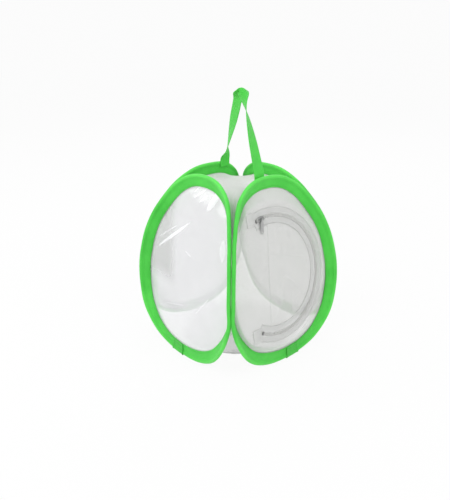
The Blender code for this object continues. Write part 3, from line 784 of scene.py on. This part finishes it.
ends = {
    "topDip": 0.0045, "topPower": 5, "floorFlat": 0.080, "cornerRun": 0.003,
    "lift": -0.0023, "depth": 0.0203,       # where both are sewn on, just inside the band
    "wave": 0.0008, "topRate": 24, "floorRate": 30, "pucker": 0.0005,
    "floorHeight": 0.0004, "floorWall": 0.0006, "around": 256, "rings": 26,
}


def cornerLine(firstRow, lastRow, cornerRow, steps):
    # one closed line round the cage, along the inside of each hoop, through the seams between them
    line = []
    for turn in sorted(turns.values()):
        spin = Matrix.Rotation(turn, 4, "Z")
        corner = bandSpot(cornerRow, hoop["band"] + ends["cornerRun"])
        reach = (abs(corner.x) + abs(corner.y)) / 2
        line.append(spin @ Vector((-reach, -reach, corner.z)))
        for i in range(1, steps):
            row = mix(firstRow, lastRow, i / steps)
            line.append(spin @ bandSpot(row, ends["depth"], ends["lift"]))
    return line


def lineSpot(line, u):
    spot = u * len(line)
    low = int(spot) % len(line)
    return line[low].lerp(line[(low + 1) % len(line)], spot - int(spot))


def makeTop():
    line = cornerLine(fullTurn - hoop["lastSeam"], hoop["lastSeam"], fullTurn - hoop["lastSeam"], 24)
    centreHeight = max(p.z for p in line) - ends["topDip"]

    def spot(u, v):
        p = lineSpot(line, u)
        share = 1 - v
        rate = share * ends["topRate"]
        wave = ends["wave"] * wander(p.x * rate, p.y * rate, 5.0) * ease((1 - share) * 6)
        around = 14 * math.cos(u * 2 * math.pi), 14 * math.sin(u * 2 * math.pi)
        pucker = ends["pucker"] * wander(*around, 2.5) * math.exp(-v * 14) * ease(v * 30)
        height = centreHeight + (p.z - centreHeight) * share ** ends["topPower"] + wave + pucker
        where = Vector((p.x * share, p.y * share, height))
        return where, (where.x, where.y)

    mesh = laid(ends["around"], ends["rings"], spot, join=True)
    area = areaOf(mesh)
    item = ready("topNet", mesh, "cage", paints["netTop"])
    walled(item, panel["netWall"])
    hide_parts("top_net")


def makeFloor():
    line = cornerLine(-hoop["firstSeam"], hoop["firstSeam"], -hoop["firstSeam"], 24)

    def spot(u, v):
        p = lineSpot(line, u)
        share = ends["floorFlat"] / math.hypot(p.x, p.y)
        flat = Vector((p.x * share, p.y * share, ends["floorHeight"]))
        if v < 0.5:
            t = v * 2
            where = p.lerp(flat, t)
            x, y = where.x * ends["floorRate"], where.y * ends["floorRate"]
            where.z += ends["wave"] * wander(x, y, 8.0) * math.sin(t * math.pi)
        else:
            where = flat * (2 - v * 2)
            where.z = ends["floorHeight"]
        return where, (where.x, where.y)

    mesh = laid(ends["around"], ends["rings"], spot, join=True)
    area = areaOf(mesh)
    item = ready("floorCloth", mesh, "cage", paints["floor"])
    walled(item, ends["floorWall"])
    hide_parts("floor_cloth")


makeTop()
makeFloor()
print("top and floor made")


zipRun = {
    "radius": 0.0945, "tape": 0.0130, "split": 0.0014, "wayHalf": 0.0054,
    "lift": 0.0006, "tapeWall": 0.0005,
    "top": math.radians(105.4), "foot": math.radians(-117.5),
    "foldTop": math.radians(92.0), "foldFoot": math.radians(-106.5),    # where the door's fold ends
    "foldClear": 0.03, "footClear": 0.05, "endClear": 0.02,     # angles that the teeth leave free
    "spare": math.radians(4.5),
    "toothPitch": 0.0015, "toothSize": (0.0016, 0.00052, 0.00075), "toothOut": 0.00125,
    "stitchPitch": 0.0030, "stitchSize": (0.0011, 0.0002, 0.00016),
    "stitchEdge": 0.0018, "stitchTeeth": 0.0042,
    "doorMiddle": 0.030, "doorSlack": 0.0012, "wayDepth": 0.03,
    "zoneShare": 0.97, "netLap": 0.0085,    # how far the panel lies flat round the zip
    "patchSize": (0.016, 0.021), "patchAlong": 0.0104, "patchOut": 0.0074,
}
doorTurn = Matrix.Rotation(turns["door"], 4, "Z")
zipCentre = doorTurn @ onPlane(panel["zipAcross"], zipHeight)
zipTurn = doorTurn @ Matrix.Rotation(math.pi / 2 - tilt, 4, "X")
zipPlane = Matrix.Translation(zipCentre) @ zipTurn.to_3x3().to_4x4()


def onZip(radius, angle, lift=0.0):
    return zipPlane @ polar(radius, angle, lift)


wayIn, wayOut = zipRun["radius"] - zipRun["wayHalf"], zipRun["radius"] + zipRun["wayHalf"]
foldFoot = polar(wayIn, zipRun["foldFoot"]).xy
foldTop = polar(wayIn, zipRun["foldTop"]).xy
foldAlong = (foldTop - foldFoot).normalized()
foldOut = Vector((foldAlong.y, -foldAlong.x))


def arcPoints(radius, start, end, steps):
    return [polar(radius, mix(start, end, i / steps), -zipRun["wayDepth"]) for i in range(steps + 1)]


def makeDoorPanel():
    slotSteps, edgeSteps, flatSteps = panel["slotSteps"], 6, 26
    reach = zipRun["radius"] + zipRun["tape"] + zipRun["netLap"]

    def spot(u, v):
        place = u * fullTurn
        step = v * (slotSteps + edgeSteps + flatSteps)
        edge = bandSpot(place, hoop["band"] + panel["edgeRun"])
        across = edge.x - panel["zipAcross"]
        up = (edge.z - zipHeight) / math.cos(tilt)
        length = math.hypot(across, up)
        kept = min(reach, zipRun["zoneShare"] * length) / length
        rim = onPlane(panel["zipAcross"] + across * kept, zipHeight + up * kept * math.cos(tilt))
        if step <= slotSteps:
            depth = mix(panel["slotDepth"], hoop["band"] + panel["edgeRun"], step / slotSteps)
            where = bandSpot(place, depth)
        elif step <= slotSteps + edgeSteps:
            t = (step - slotSteps) / edgeSteps
            where = edge.lerp(rim, t)
        else:
            t = (step - slotSteps - edgeSteps) / flatSteps
            where = rim.lerp(onPlane(panel["zipAcross"], zipHeight), t)
        return doorTurn @ where, (where.x, where.z)

    mesh = laid(panel["around"], slotSteps + edgeSteps + flatSteps, spot, join=True)
    item = ready("doorPanelNet", mesh, "cage", paints["netX"])
    walled(item, panel["netWall"])
    outline = arcPoints(wayOut, zipRun["top"], zipRun["foot"], 72)
    outline += arcPoints(wayIn, zipRun["foot"], zipRun["foldFoot"], 4)
    outline += arcPoints(wayIn, zipRun["foldTop"], zipRun["top"], 4)
    cutter = bmesh.new()
    face = cutter.faces.new([cutter.verts.new(p) for p in outline])
    grown = bmesh.ops.extrude_face_region(cutter, geom=[face])
    top = [g for g in grown["geom"] if isinstance(g, bmesh.types.BMVert)]
    bmesh.ops.translate(cutter, verts=top, vec=(0, 0, 2 * zipRun["wayDepth"]))
    bmesh.ops.transform(cutter, matrix=zipPlane, verts=cutter.verts)
    bmesh.ops.recalc_face_normals(cutter, faces=cutter.faces)
    way = linked("way", meshFrom("way", cutter))
    cut = item.modifiers.new("way", "BOOLEAN")
    cut.operation = "DIFFERENCE"
    cut.object = way
    bpy.context.view_layer.update()
    graph = bpy.context.evaluated_depsgraph_get()
    cutMesh = bpy.data.meshes.new_from_object(item.evaluated_get(graph))
    item.modifiers.clear()
    item.data = cutMesh
    bpy.data.objects.remove(way)
    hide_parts("door_panel_net")
    area = sum(p.area for p in cutMesh.polygons) / 2


def doorReach(angle):                   # from the door's own middle to its outline
    middle = Vector((zipRun["doorMiddle"], 0.0))
    ray = polar(1, angle).xy
    b = middle.dot(ray)
    reach = -b + math.sqrt(b * b - middle.length_squared + wayIn * wayIn)
    down = foldOut.dot(ray)
    if down < -1e-6:
        reach = min(reach, foldOut.dot(foldFoot - middle) / down)
    return middle, ray, reach


def makeDoor():
    def spot(u, v):
        middle, ray, reach = doorReach(u * 2 * math.pi)
        p = middle + ray * (reach * (1 - v))
        away = reach * v
        wave = zipRun["doorSlack"] * wander(p.x * 20, p.y * 16, 31.0) * ease((away - 0.012) / 0.03)
        return zipPlane @ Vector((p.x, p.y, wave)), (p.x, p.y)

    mesh = laid(180, 30, spot, join=True)
    area = areaOf(mesh)
    item = ready("doorNet", mesh, "door", paints["netX"])
    walled(item, panel["netWall"])
    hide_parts("door_net")


def ringBand(name, inner, outer, body, edgeIn):
    start, end = zipRun["top"] + zipRun["spare"], zipRun["foot"] - zipRun["spare"]
    wall = zipRun["tapeWall"]

    def spot(u, v):
        along = abs(end - start) * zipRun["radius"] * u
        across = v * (outer - inner) if edgeIn else (1 - v) * (outer - inner)
        return onZip(mix(inner, outer, v), mix(start, end, u), zipRun["lift"] + wall / 2), (along, across)

    item = ready(name, laid(200, 6, spot), body, paints["tape"])
    walled(item, wall)
    return item, (outer - inner, abs(end - start) * (inner + outer) / 2)


def tapeStitches(mesh, radius, start, end):
    lift = zipRun["lift"] + zipRun["tapeWall"]
    count = int(abs(end - start) * radius / zipRun["stitchPitch"])
    spots = []
    for i in range(count):
        angle = mix(start, end, (i + 0.5) / count)
        along = Vector((-math.sin(angle), math.cos(angle), 0))
        spots.append(zipPlane @ facing(polar(radius, angle, lift), along, Vector((0, 0, 1))))
    strung(mesh, stitch(*zipRun["stitchSize"]), spots)


def teethRow(name, inside, start, end, body, node, offset):
    bead = bmesh.new()
    bmesh.ops.create_cube(bead, size=2, matrix=Matrix.Diagonal((*zipRun["toothSize"], 1)))
    edges = bead.edges[:]
    bmesh.ops.bevel(bead, geom=edges, offset=0.00025, segments=1, profile=0.5, affect="EDGES", material=-1)
    count = int(abs(end - start) * zipRun["radius"] / zipRun["toothPitch"])
    lift = zipRun["lift"] + zipRun["tapeWall"] + 0.0009
    spots = []
    for i in range(count):
        angle = mix(start, end, (i + offset) / count)
        radius = zipRun["radius"] + (-zipRun["toothOut"] if inside else zipRun["toothOut"])
        spots.append(zipPlane @ facing(polar(radius, angle, lift), polar(1, angle), Vector((0, 0, 1))))
    item = ready(name, strung(bmesh.new(), bead, spots), body, paints["nylon"])
    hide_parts(node)


def foldAcross(item):
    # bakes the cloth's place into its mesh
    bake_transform(item)


def makeZip():
    radius, tape, half = zipRun["radius"], zipRun["tape"], zipRun["split"] / 2
    item, flat = ringBand("frameTape", radius + half, radius + tape, "cage", True)
    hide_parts("zip_frame_tape")
    item, flat = ringBand("doorTape", radius - tape, radius - half, None, False)
    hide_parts("zip_door_tape", "zip_top_tape", "zip_foot_tape")
    foldAcross(item)
    top, foot, foldHigh, foldLow = (zipRun[key] for key in ("top", "foot", "foldTop", "foldFoot"))
    high, low = foldHigh - zipRun["foldClear"], foldLow + zipRun["footClear"]
    teethRow("frameTeeth", False, top, foot, "cage", "zip_frame_teeth", 0.5)
    teethRow("doorTeeth", True, high, low, "door", "zip_door_teeth", 0.0)
    teethRow("topTeeth", True, top, foldHigh + zipRun["endClear"], "cage", "zip_top_teeth", 0.0)
    teethRow("footTeeth", True, foldLow - zipRun["endClear"], foot, "cage", "zip_foot_teeth", 0.0)
    fixed, moving = bmesh.new(), bmesh.new()
    for out in (tape - zipRun["stitchEdge"], zipRun["stitchTeeth"]):
        tapeStitches(fixed, radius + out, top + zipRun["spare"], foot - zipRun["spare"])
        tapeStitches(moving, radius - out, high, foldLow + zipRun["foldClear"])
    ready("frameTapeStitches", fixed, "cage", paints["whiteThread"])
    ready("doorTapeStitches", moving, "door", paints["whiteThread"])
    for end, angle, sign in (("top", top, 1), ("foot", foot, -1)):
        makePatch(end, angle, sign)
        repaint(f"zip_{end}_stop", paints["steel"])


def makePatch(end, angle, sign):
    turn = angle + sign * zipRun["patchAlong"] / zipRun["radius"]
    middle = polar(zipRun["radius"] + zipRun["patchOut"], turn)
    width, height = zipRun["patchSize"]
    base = zipRun["lift"] + zipRun["tapeWall"] + 0.0004

    def spot(u, v):
        x, y = (u - 0.5) * width, (v - 0.5) * height
        droop = 0.0003 * wander(x * 300, y * 300, angle)
        return zipPlane @ Vector((middle.x + x, middle.y + y, base + droop)), (u * width, v * 0.0127)

    item = ready(f"{end}Patch", laid(14, 18, spot), "cage", paints["tape"])
    walled(item, 0.0005)
    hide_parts(f"zip_{end}_patch")


makeDoorPanel()
makeDoor()
makeZip()
print("door and zip made")


slider = {                      # in the slider's own place: X out from the zip's middle, Y along the zip
    "angle": math.radians(100.9), "half": 0.0060, "tail": 0.00345, "nose": 0.0042,
    "roof": 0.0032, "floor": -0.0007, "plate": 0.0010, "flangeLow": 0.0016,
    "bailHalf": 0.0041, "bailRadius": 0.0005, "barHeight": 0.0059,
    "pullLength": 0.0240, "pullHalf": 0.0030, "neckHalf": 0.0017, "pullWall": 0.0009,
    "eyeRadius": 0.0011, "eyeHalf": 0.0016, "hole": 0.0019,
    "rest": math.radians(10.0), "aside": math.radians(-11.0),
}
seat = zipPlane @ Matrix.Translation(polar(zipRun["radius"], slider["angle"]))
seat = seat @ Matrix.Rotation(slider["angle"], 4, "Z")


def plateSpot(u, scale, z):             # outline of the slider's plates: narrow tail, wide round nose
    turn = u * 2 * math.pi
    x, y = math.cos(turn), math.sin(turn)
    y = math.copysign(abs(y) ** 0.5, y) * slider["half"]
    half = mix(slider["tail"], slider["nose"], ease((y + 0.004) / 0.007))
    x = math.copysign(abs(x) ** 0.5, x) * half
    return Vector((x * scale, y * scale, z))


def stacked(*levels):                   # closed plate from its outline's scale at several heights
    def spot(u, v):
        place = v * (len(levels) - 1)
        low = min(int(place), len(levels) - 2)
        scale = mix(levels[low][0], levels[low + 1][0], place - low)
        z = mix(levels[low][1], levels[low + 1][1], place - low)
        return plateSpot(u, scale, z), (u, v)

    return laid(48, len(levels) - 1, spot, join=True)


def rod(points, radius):
    def spot(u, v):
        place = v * (len(points) - 1)
        low = min(int(place + 1e-6), len(points) - 2)
        middle = points[low].lerp(points[low + 1], place - low)
        near, far = points[max(low - 1, 0)], points[min(low + 2, len(points) - 1)]
        heading = (far - near).normalized()
        aside = heading.cross(Vector((1, 0, 0))).normalized()
        up = aside.cross(heading)
        turn = u * 2 * math.pi
        return middle + aside * (radius * math.cos(turn)) + up * (radius * math.sin(turn)), (u, v)

    mesh = laid(10, len(points) - 1, spot, join=True)
    bmesh.ops.holes_fill(mesh, edges=mesh.edges, sides=0)
    bmesh.ops.recalc_face_normals(mesh, faces=mesh.faces)
    return mesh


def makeSlider():
    roof, floor, wall = slider["roof"], slider["floor"], slider["plate"]
    mesh = stacked(
        (0, roof), (0.94, roof), (1.0, roof + 0.0002), (1.0, roof + 0.0006), (0.93, roof + 0.0009),
        (0.72, roof + wall), (0, roof + wall + 0.0001),
    )
    low = floor + wall
    joined(mesh, stacked((0, floor), (0.9, floor), (0.97, floor + 0.0003), (0.97, low), (0, low)))
    for hand in (1, -1):
        def spot(u, v):
            y = mix(-0.0056, 0.0040, u)
            half = mix(slider["tail"], slider["nose"], ease((y + 0.004) / 0.007))
            bulge = 0.0002 * math.sin(v * math.pi)
            z = mix(slider["flangeLow"], roof + 0.0003, v)
            return Vector((hand * (half - 0.0004 + bulge), y, z)), (u, v)

        flange = laid(16, 4, spot)
        bmesh.ops.solidify(flange, geom=flange.faces[:], thickness=0.0006)
        joined(mesh, flange)
    half, bar = slider["bailHalf"], slider["barHeight"]
    points = []
    for i in range(19):
        turn = math.pi * i / 18
        y = -half * math.cos(turn)
        z = roof + 0.0006 + (bar - roof - 0.0006) * min(1.0, math.sin(turn) * 2.2) ** 0.8
        points.append(Vector((0, y, z)))
    joined(mesh, rod(points, slider["bailRadius"]))
    bmesh.ops.transform(mesh, matrix=seat, verts=mesh.verts)
    bmesh.ops.recalc_face_normals(mesh, faces=mesh.faces)
    item = ready("sliderBody", mesh, "slider", paints["steel"])
    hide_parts("zip_slider")


def pullOutline():
    half, neck, length = slider["pullHalf"], slider["neckHalf"], slider["pullLength"]
    centre = half - length
    line = []
    for i in range(17):
        turn = math.pi * (0.5 + i / 16)
        line.append((centre + half * math.cos(turn), half * math.sin(turn)))
    edge = []
    for i in range(1, 13):
        x = mix(centre, -slider["eyeRadius"], i / 12)
        edge.append((x, mix(half, neck, ease((x + 0.0075) / 0.0055))))
    line += [(x, -y) for x, y in edge]
    line += [(edge[-1][0], mix(-neck, neck, i / 4)) for i in (1, 2, 3)]
    line += edge[::-1]
    return line, centre


def makePull():
    line, centre = pullOutline()

    def spot(u, v):
        place = u * len(line)
        low = int(place) % len(line)
        one, two = line[low], line[(low + 1) % len(line)]
        x, z = mix(one[0], two[0], place - int(place)), mix(one[1], two[1], place - int(place))
        share = mix(slider["hole"] / math.hypot(x - centre, z), 1.0, v)
        return Vector((centre + (x - centre) * share, 0, z * share)), (x, z)

    mesh = laid(len(line), 5, spot, join=True)
    bmesh.ops.solidify(mesh, geom=mesh.faces[:], thickness=slider["pullWall"])
    off = sum(v.co.y for v in mesh.verts) / len(mesh.verts)
    bmesh.ops.translate(mesh, verts=mesh.verts, vec=(0, -off, 0))

    def roll(u, v):
        z = mix(-slider["eyeHalf"], slider["eyeHalf"], v)
        return polar(slider["eyeRadius"], u * 2 * math.pi, z), (u, v)

    eye = laid(20, 3, roll, join=True)
    bmesh.ops.solidify(eye, geom=eye.faces[:], thickness=0.0005)
    joined(mesh, eye)
    hang = (
        seat
        @ Matrix.Translation((0, 0, slider["barHeight"]))
        @ Matrix.Rotation(slider["aside"], 4, "Z")
        @ Matrix.Rotation(math.pi / 2, 4, "X")
        @ Matrix.Rotation(slider["rest"], 4, "Z")
    )
    bmesh.ops.transform(mesh, matrix=hang, verts=mesh.verts)
    bmesh.ops.recalc_face_normals(mesh, faces=mesh.faces)
    item = ready("pullTab", mesh, "pull", paints["pull"])
    edge = item.modifiers.new("edge", "BEVEL")
    edge.width = 0.00018
    edge.segments = 2
    edge.limit_method = "ANGLE"
    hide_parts("zip_pull")


makeSlider()
makePull()
print("slider made")


strap = {
    "width": 0.020, "wall": 0.0010,
    "front": 0.012, "back": 0.028, "tabOff": 0.0035,    # the tabs' places, and how far behind the band
    "tab": 0.0135, "tabRise": 0.0030, "hingeRise": 0.0009, "rise": 0.1265, "topRadius": 0.007,
    "steps": 170, "across": 12,
    "turns": (                  # share of the length, share of the one full turn
        (0.00, 0.000), (0.05, 0.045), (0.20, 0.085), (0.355, 0.170), (0.435, 0.285),
        (0.50, 0.500), (0.54, 0.610), (0.58, 0.700), (0.62, 0.712), (0.67, 0.718), (0.72, 0.730),
        (0.81, 0.775), (0.89, 0.817), (0.93, 0.836), (1.00, 0.880),
    ),
    "curl": 115.0, "curlFrom": 0.06,    # the top is gathered, so its edges droop
    "frontAlign": (0.0115, 0.022), "backAlign": (0.0125, 0.024),    # where it turns flat to its tabs
}


def turnAt(share):                      # smooth through the pairs
    pairs = strap["turns"]
    low = max(i for i in range(len(pairs) - 1) if pairs[i][0] <= max(share, 0))
    (start, a), (end, b) = pairs[low:low + 2]
    before, after = pairs[max(low - 1, 0)], pairs[min(low + 2, len(pairs) - 1)]
    t = (share - start) / (end - start)
    leave = (b - before[1]) / (end - before[0]) * (end - start)
    arrive = (after[1] - a) / (after[0] - start) * (end - start)
    return mix(a, b, ease(t)) + t * (1 - t) * ((1 - t) * leave - t * arrive)


def strapRoot(side, offset):
    crown = hoopAt(fullTurn / 2)[0]
    back = crown.y + strap["tabOff"] + strap["wall"] / 2
    top = crown.z + hoop["band"] / 2 + strap["tabRise"]
    return turned(side) @ Vector((-offset, back, top))


def strapLine():
    front, back = strapRoot("door", strap["front"]), strapRoot("left", strap["back"])
    lift = Vector((0, 0, strap["hingeRise"]))
    span = back - front
    along = span.normalized()
    apex = front + span / 2 + Vector((0, 0, strap["rise"])) + lift
    line = []
    for i in range(12):
        line.append(front + Vector((0, 0, -strap["tab"] * (1 - i / 12))))
    first, last = front + lift, back + lift
    leg = (apex - first).length - strap["topRadius"]
    a, b = first + (apex - first).normalized() * leg, last + (apex - last).normalized() * leg
    for i in range(41):
        line.append(first.lerp(a, i / 40))
    for i in range(1, 10):
        t = i / 10
        line.append(a.lerp(apex, t).lerp(apex.lerp(b, t), t))
    for i in range(41):
        line.append(b.lerp(last, i / 40))
    for i in range(1, 13):
        line.append(back + Vector((0, 0, -strap["tab"] * i / 12)))
    for _ in range(6):                  # eases the two bends at the tabs
        inside = [p * 0.5 + (o + q) * 0.25 for o, p, q in zip(line, line[1:], line[2:])]
        line = [line[0], *inside, line[-1]]
    return line, along


def makeStrap():
    line, along = strapLine()
    travelled = [0.0]
    for a, b in zip(line, line[1:]):
        travelled.append(travelled[-1] + (b - a).length)
    total = travelled[-1]
    tab = strap["tab"]
    across = Vector((0, 0, 1)).cross(along)
    atTabs = Vector((0, math.copysign(1, across.y), 0))     # both tabs lie along Y

    def spot(u, v):
        place = u * (len(line) - 1)
        low = min(int(place), len(line) - 2)
        t = place - low
        middle = line[low].lerp(line[low + 1], t)
        run = mix(travelled[low], travelled[low + 1], t)
        heading = (line[min(low + 2, len(line) - 1)] - line[max(low - 1, 0)]).normalized()
        share = min(max((run - tab) / (total - 2 * tab), 0.0), 1.0)
        twist = 2 * math.pi * turnAt(share)
        flat = heading.cross(across).normalized()
        wide = across * math.cos(twist) + flat * math.sin(twist)
        start, reach = strap["frontAlign"] if u < 0.5 else strap["backAlign"]
        near = 1 - ease((min(run, total - run) - start) / reach)
        wide = wide * (1 - near) + atTabs * near
        wide = (wide - wide.dot(heading) * heading).normalized()
        x = (v - 0.5) * strap["width"]
        curl = strap["curl"] * math.exp(-((share - 0.5) / strap["curlFrom"]) ** 2) + 12.0
        up = wide.cross(heading)
        bent = wide * (math.sin(x * curl) / curl) - up * ((1 - math.cos(x * curl)) / curl)
        return middle + bent, (run, v * strap["width"])

    mesh = laid(strap["steps"], strap["across"], spot)
    area = areaOf(mesh)
    item = ready("carryStrap", mesh, None, paints["webbing"])
    walled(item, strap["wall"])
    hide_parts("carry_strap", "strap_tab_front", "strap_tab_back")
    root = strapRoot("door", strap["front"])
    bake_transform(item)
    flat = (strap["width"], area / strap["width"])


makeStrap()
print("strap made")


studio = {
    "floorSize": 8.0, "world": 0.62, "backdrop": 0.97, "glow": 0.93,
    "camera": (0.65217, -0.58360, 0.49651), "elevation": 20.717, "azimuth": 48.176,
    "lens": 39.11, "sensor": 36.0, "shift": (-0.0247, -0.0083),
    "lamps": (                  # place, aim, size, power
        ((0.1, -1.6, 1.6), (0.0, 0.0, 0.15), 1.1, 13.0),
        ((1.7, 0.2, 1.5), (0.0, 0.0, 0.15), 1.1, 11.0),
        ((-1.2, 1.4, 1.7), (0.0, 0.0, 0.15), 1.4, 10.0),
        ((-1.1, -1.0, 0.9), (0.0, 0.0, 0.15), 0.7, 4.0),
    ),
}


def makeStage():
    mesh = bmesh.new()
    bmesh.ops.create_grid(mesh, x_segments=8, y_segments=8, size=studio["floorSize"])
    ground = linked("studioFloor", meshFrom("studioFloor", mesh))
    look = Paint("studio floor", 0.9)
    look.set("Base Color", (0.86, 0.86, 0.86, 1.0))
    out = look.nodes["Material Output"]
    path = look.nodes.new("ShaderNodeLightPath")
    glow = look.nodes.new("ShaderNodeEmission")
    glow.inputs["Strength"].default_value = 1.0
    blend = look.nodes.new("ShaderNodeMixShader")
    names = ("Is Camera Ray", "Is Glossy Ray", "Is Transmission Ray")
    camera, glossy, through = (Value(look, path.outputs[name]) for name in names)
    seen = camera + glossy + through
    look.feed(blend.inputs[0], seen.atMost(1.0) * studio["glow"])
    look.links.new(look.shader.outputs[0], blend.inputs[1])
    look.links.new(glow.outputs[0], blend.inputs[2])
    look.links.new(blend.outputs[0], out.inputs["Surface"])
    ground.data.materials.append(look.made)


def makeWorld():
    world = bpy.data.worlds.new("studio")
    bpy.context.scene.world = world
    world.use_nodes = True
    nodes, links = world.node_tree.nodes, world.node_tree.links
    back = nodes["Background"]
    path = nodes.new("ShaderNodeLightPath")
    seen = nodes.new("ShaderNodeMath")
    seen.operation = "MAXIMUM"
    links.new(path.outputs["Is Camera Ray"], seen.inputs[0])
    links.new(path.outputs["Is Glossy Ray"], seen.inputs[1])
    strength = nodes.new("ShaderNodeMapRange")
    links.new(seen.outputs[0], strength.inputs["Value"])
    strength.inputs["To Min"].default_value = studio["world"]
    strength.inputs["To Max"].default_value = studio["backdrop"]
    links.new(strength.outputs[0], back.inputs["Strength"])
    back.inputs["Color"].default_value = (1.0, 1.0, 1.0, 1.0)


def makeLamps():
    for i, (place, aim, size, power) in enumerate(studio["lamps"]):
        light = bpy.data.lights.new(f"softbox{i}", "AREA")
        light.size = size
        light.energy = power
        lamp = linked(f"softbox{i}", light)
        lamp.location = place
        lamp.rotation_euler = (Vector(aim) - Vector(place)).to_track_quat("-Z", "Y").to_euler()


def makeCamera():
    data = bpy.data.cameras.new("camera")
    data.lens = studio["lens"]
    data.sensor_width = studio["sensor"]
    data.sensor_fit = "AUTO"
    data.shift_x, data.shift_y = studio["shift"]
    camera = linked("camera", data)
    camera.location = studio["camera"]
    camera.rotation_euler = (math.radians(90 - studio["elevation"]), 0, math.radians(studio["azimuth"]))
    bpy.context.scene.camera = camera


makeStage()
makeWorld()
makeLamps()
makeCamera()
bpy.context.scene.view_settings.view_transform = "Standard"
print("stage made")
